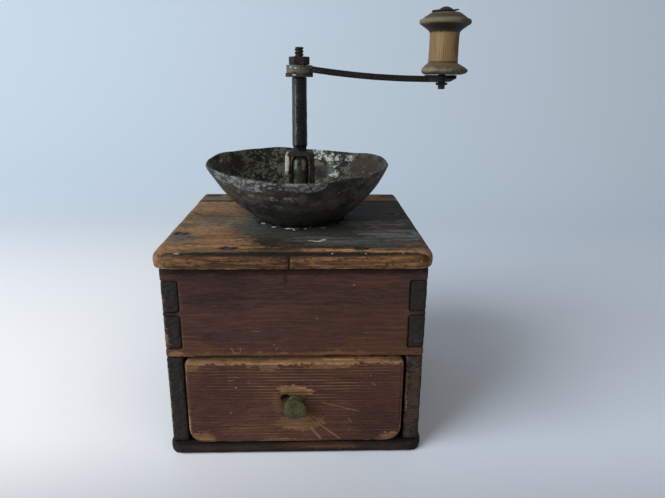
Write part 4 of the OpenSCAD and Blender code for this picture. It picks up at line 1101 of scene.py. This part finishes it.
lampSet = {
    "window": {"place": (-1.25, -0.75, 0.95), "size": 1.3, "power": 38, "tint": (0.87, 0.95, 1.0)},
    "fill": {"place": (0.9, -1.4, 1.2), "size": 1.6, "power": 6, "tint": (1.0, 0.95, 0.88)},
}
lampAim = Vector((0, 0, 0.12))
worldSet = {"tint": (1.0, 0.90, 0.76), "strength": 0.26}


def addLights():
    for name, lamp in lampSet.items():
        light = bpy.data.lights.new(name, "AREA")
        light.size = lamp["size"]
        light.energy = lamp["power"]
        light.color = lamp["tint"]
        holder = bpy.data.objects.new(name, light)
        turn = (lampAim - Vector(lamp["place"])).to_track_quat("-Z", "Y").to_matrix().to_4x4()
        holder.matrix_world = Matrix.Translation(lamp["place"]) @ turn
        scene.collection.objects.link(holder)
    world = bpy.data.worlds.new("studio")
    world.use_nodes = True
    sky = world.node_tree.nodes["Background"]
    sky.inputs["Color"].default_value = (*worldSet["tint"], 1)
    sky.inputs["Strength"].default_value = worldSet["strength"]
    scene.world = world


addStage()
addLights()
scene.view_settings.view_transform = "Standard"
print("stage and lights set")


# Box boards: worn copies of the solids
boardWear = {
    "edgeReach": 2.2, "edgeSoften": 3, "chipSize": 4, "chipDepth": 0.45, "dentSize": 22, "dentDepth": 0.2,
}
boards = [
    # node, piece, grid, body, slot, look, other wear
    ("base_board", "baseBoard", 0.9, "box", "dark_pine", baseLook, {}),
    ("left_side", "leftSide", 0.72, "box", "painted_pine", leftLook, {}),
    ("right_side", "rightSide", 0.72, "box", "painted_pine", rightLook, {}),
    ("back_board", "backBoard", 0.85, "box", "painted_pine", backLook, {}),
    ("front_board", "frontBoard", 0.65, "box", "painted_pine", frontLook, {}),
    ("top_board", "topBoard", 0.75, "box", "bare_pine", topLook, {"chipDepth": 0.7, "dentDepth": 0.45}),
    ("top_back_strip", "topBackStrip", 0.75, "box", "bare_pine", stripLook, {"chipDepth": 0.7}),
    ("drawer_front", "drawerFront", 0.6, "drawer", "painted_pine", drawerLook, {}),
    ("drawer_left_side", "drawerLeftSide", 0.9, "drawer", "inside_pine", insideSideLook, {}),
    ("drawer_right_side", "drawerRightSide", 0.9, "drawer", "inside_pine", insideSideLook, {}),
    ("drawer_back", "drawerBack", 0.9, "drawer", "inside_pine", insideLook, {}),
    ("drawer_bottom", "drawerBottom", 0.9, "drawer", "inside_pine", insideLook, {}),
]


# Lower edge of the front board: rubbed round and uneven
lipSet = {"top": 66.5, "reach": 5, "front": -70, "rise": 1.0, "waveSize": 22, "soften": 8}


def wearLip(piece):
    def weight(place):
        return (lipSet["top"] - place.z) / lipSet["reach"] if place.y <= lipSet["front"] else 0
    weigh(piece, "lip", weight)
    soften(piece, lipSet["soften"], "lip")
    displace(piece, "lip", "Z", lipSet["rise"], 0, lipSet["waveSize"])


# Split in the top board's front edge
crackSet = {"x": -2.8, "level": 118, "slant": 0.05, "half": 0.95, "front": -77, "depth": 1.6}


def cutCrack(piece):
    def weight(place):
        if place.y > crackSet["front"]:
            return 0
        middle = crackSet["x"] + (place.z - crackSet["level"]) * crackSet["slant"]
        return 1 - abs(place.x - middle) / crackSet["half"]
    weigh(piece, "crack", weight)
    displace(piece, "crack", "Y", crackSet["depth"])


# Crust of old grease and dust round the bowl's foot
crustSet = {
    "inner": 24, "innerSlope": 2, "outer": 30.5, "outerSlope": 3, "skin": 1,
    "lumps": 2.2, "rise": 3.0, "level": 0.4,
}


def raiseCrust(piece):
    axis = centreOf("hopper_bowl")
    surface = boxOf("top_board")[1].z - crustSet["skin"]

    def weight(place):
        if place.z < surface:
            return 0
        out = outFrom(axis, place)
        return min((out - crustSet["inner"]) / crustSet["innerSlope"],
                   (crustSet["outer"] - out) / crustSet["outerSlope"])
    weigh(piece, "crust", weight)
    displace(piece, "crust", "Z", crustSet["rise"], crustSet["level"], crustSet["lumps"])


def workTop(piece):
    cutCrack(piece)
    raiseCrust(piece)


# Old hole beside the drawer knob
holeSet = {"x": -6.0, "z": 36.0, "half": 2.6, "steep": 1.6, "front": -74, "depth": 4}


def cutHole(piece):
    def weight(place):
        if place.y > holeSet["front"]:
            return 0
        gap = math.hypot(place.x - holeSet["x"], place.z - holeSet["z"]) / holeSet["half"]
        return holeSet["steep"] * (1 - gap)
    weigh(piece, "hole", weight)
    displace(piece, "hole", "Y", holeSet["depth"])


# Rough end grain of the side boards
postSet = {"back": -71, "lumps": 2.6, "depth": 1.1}


def roughPosts(piece):
    weigh(piece, "post", lambda place: postSet["back"] - place.y)
    pressIn(piece, postSet["lumps"], -postSet["depth"], "post", "Y")


boardWork = {
    "front_board": wearLip, "top_board": workTop, "drawer_front": cutHole,
    "left_side": roughPosts, "right_side": roughPosts,
}
for node, name, grid, body, slot, look, other in boards:
    board = wornCopy(node, name, {**boardWear, **other, "grid": grid})
    if node in boardWork:
        boardWork[node](board)
    finishPiece(board, body, [boardMaterial(name + "Finish", node, look)], [node])
print("boards worn:", len(boards))


# Hopper bowl: a spun sheet with a wavering rim
bowlSet = {
    "segments": 128, "throat": 15, "floor": (21, 23.5), "footHeight": 123,
    "arcRadius": 81.87, "arcCentre": (-14.66, 194.35), "arcStart": -60.63, "arcEnd": -26.04, "arcSteps": 14,
    "sheet": 1.5, "lean": -1.3, "tilt": 2, "tiltReach": 62,
    "rimLifts": [(168, 1.8), (145, 2.2), (115, 1.5), (25, 2.2), (350, 0.6), (270, -1.0), (75, -0.6)],
    "liftReach": 24, "liftBand": 4, "liftCosine": 0.995,
    "wallRise": 8, "dents": (15, 0.9), "ripples": (5, 0.25),
}


def makeBowl(materials):
    axis = centreOf("hopper_bowl")
    base = bowlSet["footHeight"]
    rings = [(radius, base) for radius in (bowlSet["throat"], *bowlSet["floor"])]
    rings += arcRings(*(bowlSet[key] for key in ("arcCentre", "arcRadius", "arcStart", "arcEnd", "arcSteps")))
    bowl = turnRings("hopperBowl", axis, rings, bowlSet["segments"])
    rimRadius, rimHeight = rings[-1]

    def lift(angle, amount, reach):
        spot = (math.cos(math.radians(angle)), math.sin(math.radians(angle)))

        def near(place):
            out = (place - axis).xy.normalized()
            return place.z > rimHeight - bowlSet["liftBand"] and out.dot(spot) > bowlSet["liftCosine"]
        selectVerts(bowl, near)
        bpy.ops.transform.translate(value=(0, 0, amount * mm), use_proportional_edit=True,
                                    proportional_edit_falloff="SMOOTH", proportional_size=reach * mm)
    rise = rimRadius * math.sin(math.radians(bowlSet["tilt"]))
    lift(90, rise, bowlSet["tiltReach"])
    lift(270, -rise, bowlSet["tiltReach"])
    for angle, amount in bowlSet["rimLifts"]:
        lift(angle, amount, bowlSet["liftReach"])
    subdivide(bowl, 1)
    weigh(bowl, "lean", lambda place: (place.z - base) / (rimHeight - base))
    displace(bowl, "lean", "X", bowlSet["lean"])
    weigh(bowl, "wall", lambda place: (place.z - base) / bowlSet["wallRise"])
    for size, depth in (bowlSet["dents"], bowlSet["ripples"]):
        pressIn(bowl, size, depth, "wall")
    for material in materials:  # outside, inside and rim
        bowl.data.materials.append(material)
    modify(bowl, "SOLIDIFY", thickness=bowlSet["sheet"] * mm, offset=-1, use_even_offset=True,
           material_offset=1, material_offset_rim=2)
    subdivide(bowl, 1)
    return bowl


bowlLooks = {"bowlOutside": bowlOutsideLook, "bowlInside": bowlInsideLook, "bowlRim": bowlRimLook}
bowlFinish = [bowlMaterial(name, look) for name, look in bowlLooks.items()]
finishPiece(makeBowl(bowlFinish), "box", [], ["hopper_bowl"])
print("bowl spun")


# Forged iron: hammered copies of the solids
forgings = [
    # node, piece, grid, dent size, dent depth, body, slot, look
    ("bearing_bridge", "bearingBridge", 0.5, 9, 0.35, "box", "forged_iron", bridgeLook),
    ("spindle", "spindleShaft", 0.4, 6, 0.3, "crank", "forged_iron", spindleLook),
    ("crank_collar", "crankCollar", 0.3, 4, 0.1, "crank", "forged_iron", collarLook),
    ("crank_arm", "crankArm", 0.4, 8, 0.2, "crank", "forged_iron", armLook),
    ("crank_nut", "crankNut", 0.3, 4, 0.2, "crank", "forged_iron", nutLook),
    ("handle_nut", "handleNut", 0.25, 3, 0.25, "crank", "forged_iron", boltLook),
    ("handle_bolt", "handleBolt", 0.3, 4, 0.2, "crank", "forged_iron", boltLook),
    ("drawer_knob", "drawerKnob", 0.25, 4, 0.2, "drawer", "aged_brass", brassLook),
]
# Thread at the spindle's end: a turn's outline goes (out, up), in shares of the depth and the pitch
threadSet = {
    "root": 2.15, "crest": 2.8, "pitch": 1.95, "turns": 7, "bottom": 220, "overlap": 1, "steps": 40,
    "outline": [(1, 0.3), (0, 0.2), (-1, 0.3), (0, 0.2)], "weld": 0.01, "angle": 35,
}


def makeThread():
    bottom, pitch, root = threadSet["bottom"], threadSet["pitch"], threadSet["root"]
    spot = centreOf("crank_nut").xy * mm
    deselectAll()
    bpy.ops.mesh.primitive_circle_add(vertices=3, radius=mm, location=(*spot, (bottom - pitch) * mm))
    thread = namePiece("spindleThread")
    bpy.ops.object.mode_set(mode="EDIT")
    bpy.ops.mesh.select_all(action="SELECT")
    bpy.ops.mesh.merge(type="CENTER")
    bpy.ops.transform.translate(value=(root * mm, 0, 0))
    depth = threadSet["crest"] - root
    for out, up in threadSet["outline"] * threadSet["turns"]:
        move = (out * depth * mm, 0, up * pitch * mm)
        bpy.ops.mesh.extrude_vertices_move(TRANSFORM_OT_translate={"value": move})
    bpy.ops.object.mode_set(mode="OBJECT")
    modify(thread, "SCREW", axis="Z", angle=2 * math.pi, screw_offset=pitch * mm, steps=threadSet["steps"],
           render_steps=threadSet["steps"], use_merge_vertices=True, merge_threshold=threadSet["weld"] * mm)
    cutLevel(thread, bottom, -1)
    cutLevel(thread, boxOf("spindle")[1].z, 1)
    settle(thread)
    return thread


# Collar drawn up to the hub
collarSet = {"rise": 0.45}


def seatCollar(piece):
    middle = centreOf("crank_collar").z
    weigh(piece, "face", lambda place: 1 if place.z > middle else 0)
    displace(piece, "face", "Z", collarSet["rise"])


# Eye of the arm: its underside rounded at the free end, its upper face brought up to the spool's foot
eyeSet = {
    "middle": 2.1, "tipStart": 5.2, "tipReach": 3.6, "tipRise": 1.9, "faceStart": 1, "reach": 10, "gap": 0.08,
    "seatRise": 0.7,
}


def roundEye(piece):
    axis = centreOf("handle_spool")
    foot = boxOf("handle_spool")[0].z
    middle = foot - eyeSet["middle"]

    def tip(place):
        if place.x < axis.x or place.z > middle:
            return 0
        return (outFrom(axis, place) - eyeSet["tipStart"]) / eyeSet["tipReach"]
    weigh(piece, "tip", tip)
    displace(piece, "tip", "Z", eyeSet["tipRise"])

    def seat(place):
        if place.x < axis.x - eyeSet["reach"] or place.z < middle + eyeSet["faceStart"]:
            return 0
        return (foot - eyeSet["gap"] - place.z) / eyeSet["seatRise"]
    weigh(piece, "seat", seat)
    displace(piece, "seat", "Z", eyeSet["seatRise"])


# Spindle, cut off where the thread's own piece begins, with coffee caked on it between the bridge's legs
cakeSet = {"low": 134, "high": 162.4, "slope": 2, "thick": 1.45, "lumps": 3.0, "lumpDepth": 0.5}


def workSpindle(piece):
    cutLevel(piece, threadSet["bottom"] + threadSet["overlap"], 1)
    low, high = cakeSet["low"], cakeSet["high"]
    weigh(piece, "cake", lambda place: min(place.z - low, high - place.z) / cakeSet["slope"])
    displace(piece, "cake", "NORMAL", cakeSet["thick"])
    pressIn(piece, cakeSet["lumps"], cakeSet["lumpDepth"], "cake")


# Coffee caked on the inner faces of the bridge's legs, as far as "half" from the axis
bridgeCake = {"half": 6.05, "reach": 7.7, "top": 162.5, "thick": 1.4}


def cakeBridge(piece):
    axis = centreOf("bearing_bridge")
    for name, side in (("left", -1), ("right", 1)):
        def weight(place):
            out = side * (place.x - axis.x)
            if out > bridgeCake["reach"] or place.z > bridgeCake["top"]:
                return 0
            return (out - bridgeCake["half"]) / bridgeCake["thick"]
        weigh(piece, name, weight)
        displace(piece, name, "X", -side * bridgeCake["thick"])


forgeWork = {
    "crank_collar": seatCollar, "crank_arm": roundEye, "spindle": workSpindle, "bearing_bridge": cakeBridge,
}
for node, name, grid, dentSize, dentDepth, body, slot, look in forgings:
    iron = wornCopy(node, name, {"grid": grid, "dentSize": dentSize, "dentDepth": dentDepth})
    if node in forgeWork:
        forgeWork[node](iron)
    finishPiece(iron, body, [ironMaterial(name + "Finish", look)], [node])
threadFinish = ironMaterial("threadFinish", nutLook)
finishPiece(makeThread(), "crank", [threadFinish], angle=threadSet["angle"])
print("iron hammered:", len(forgings))


# Spool handle, turned with rings on its top and a groove over its foot; rings are (radius, height)
spoolSet = {
    "segments": 72, "bore": 2.31,
    "foot": [
        (11.0, 0), (12.4, 0.2), (14.6, 1.0), (15.3, 1.7), (15.55, 2.5), (15.2, 3.5), (13.2, 4.8), (10.4, 6.3),
    ],
    "neck": [
        (9.2, 7.0), (8.95, 7.4), (9.3, 7.9), (9.15, 8.6), (9.0, 14), (9.0, 20), (9.1, 24.2), (9.4, 25.2),
    ],
    "flange": [(13.8, 28.3), (15.0, 28.9), (15.65, 29.6), (15.75, 30.8), (15.35, 31.7), (14.5, 32.2)],
    "crown": [
        (13.4, 32.4), (13.1, 32.8), (12.3, 33.4), (12.0, 33.8), (10.6, 34.4), (10.3, 34.9),
        (9.0, 35.6), (8.2, 36),
    ],
    "dents": (6, 0.25), "chipTop": 6.5, "chipStart": 10, "chipReach": 5, "chipDepth": 2.6,
}


def makeSpool():
    low, high = boxOf("handle_spool")
    axis = centreOf("handle_spool")
    height = high.z - low.z
    outline = [(spoolSet["bore"], 0)]
    for part in ("foot", "neck", "flange", "crown"):
        outline += spoolSet[part]
    outline += [(spoolSet["bore"], up) for up in (height, height / 2, 0)]
    rings = [(radius, low.z + up) for radius, up in outline]
    spool = turnRings("handleSpool", axis, rings, spoolSet["segments"])
    subdivide(spool, 2)
    pressIn(spool, *spoolSet["dents"])

    def chipped(place):  # the foot's worn side
        if place.z > low.z + spoolSet["chipTop"]:
            return 0
        return (axis.x - place.x - spoolSet["chipStart"]) / spoolSet["chipReach"]
    weigh(spool, "chip", chipped)
    displace(spool, "chip", "X", spoolSet["chipDepth"])
    return spool


finishPiece(makeSpool(), "handle", [spoolMaterial("spoolFinish", spoolLook)], ["handle_spool"])
print("spool turned")


# Washer on the spool, bent up at one side
washerSet = {
    "segments": 48, "bore": 2.35, "middle": 4.8, "radius": 8.0, "thickness": 0.6, "lift": 0.05, "angle": 40,
    "nick": (5, 1.2), "nickStart": 5, "nickReach": 3, "bend": 1.1, "bendStart": 3, "bendReach": 5,
}


def makeWasher():
    axis = centreOf("handle_washer")
    bottom = boxOf("handle_washer")[0].z + washerSet["lift"]
    top = bottom + washerSet["thickness"]
    radii = [washerSet[key] for key in ("bore", "middle", "radius")]
    rings = [(radius, bottom) for radius in radii] + [(radius, top) for radius in reversed(radii)]
    washer = turnRings("handleWasher", axis, rings + rings[:1], washerSet["segments"])
    subdivide(washer, 2, "SIMPLE")
    start, reach = washerSet["nickStart"], washerSet["nickReach"]
    weigh(washer, "rim", lambda place: (outFrom(axis, place) - start) / reach)
    pressIn(washer, *washerSet["nick"], "rim", "X")
    weigh(washer, "bend", lambda place: (place.x - axis.x - washerSet["bendStart"]) / washerSet["bendReach"])
    displace(washer, "bend", "Z", washerSet["bend"])
    return washer


washerFinish = ironMaterial("washerFinish", fastenerLook)
finishPiece(makeWasher(), "crank", [washerFinish], ["handle_washer"], washerSet["angle"])
print("washer bent")


# Solids that keep their own shape
kept = {
    "burr": (burrLook, ["ring_burr", "cone_burr"]),
    "works": (forgedLook, ["step_bar", "step_cup", "adjuster_screw"]),
    "fasteners": (fastenerLook, [
        "top_nails", "base_nails", "hopper_screws", "bridge_screws", "ring_screws", "burr_pin", "drawer_pins",
    ]),
    "tacks": (tackLook, ["bowl_tacks"]),
    "knobNut": (brassLook, ["drawer_knob_nut"]),
}
for name, (look, members) in kept.items():
    material = ironMaterial(name + "Finish", look)
    for node in members:
        nodes[node].data.materials.clear()
        nodes[node].data.materials.append(material)
print("kept solids finished")
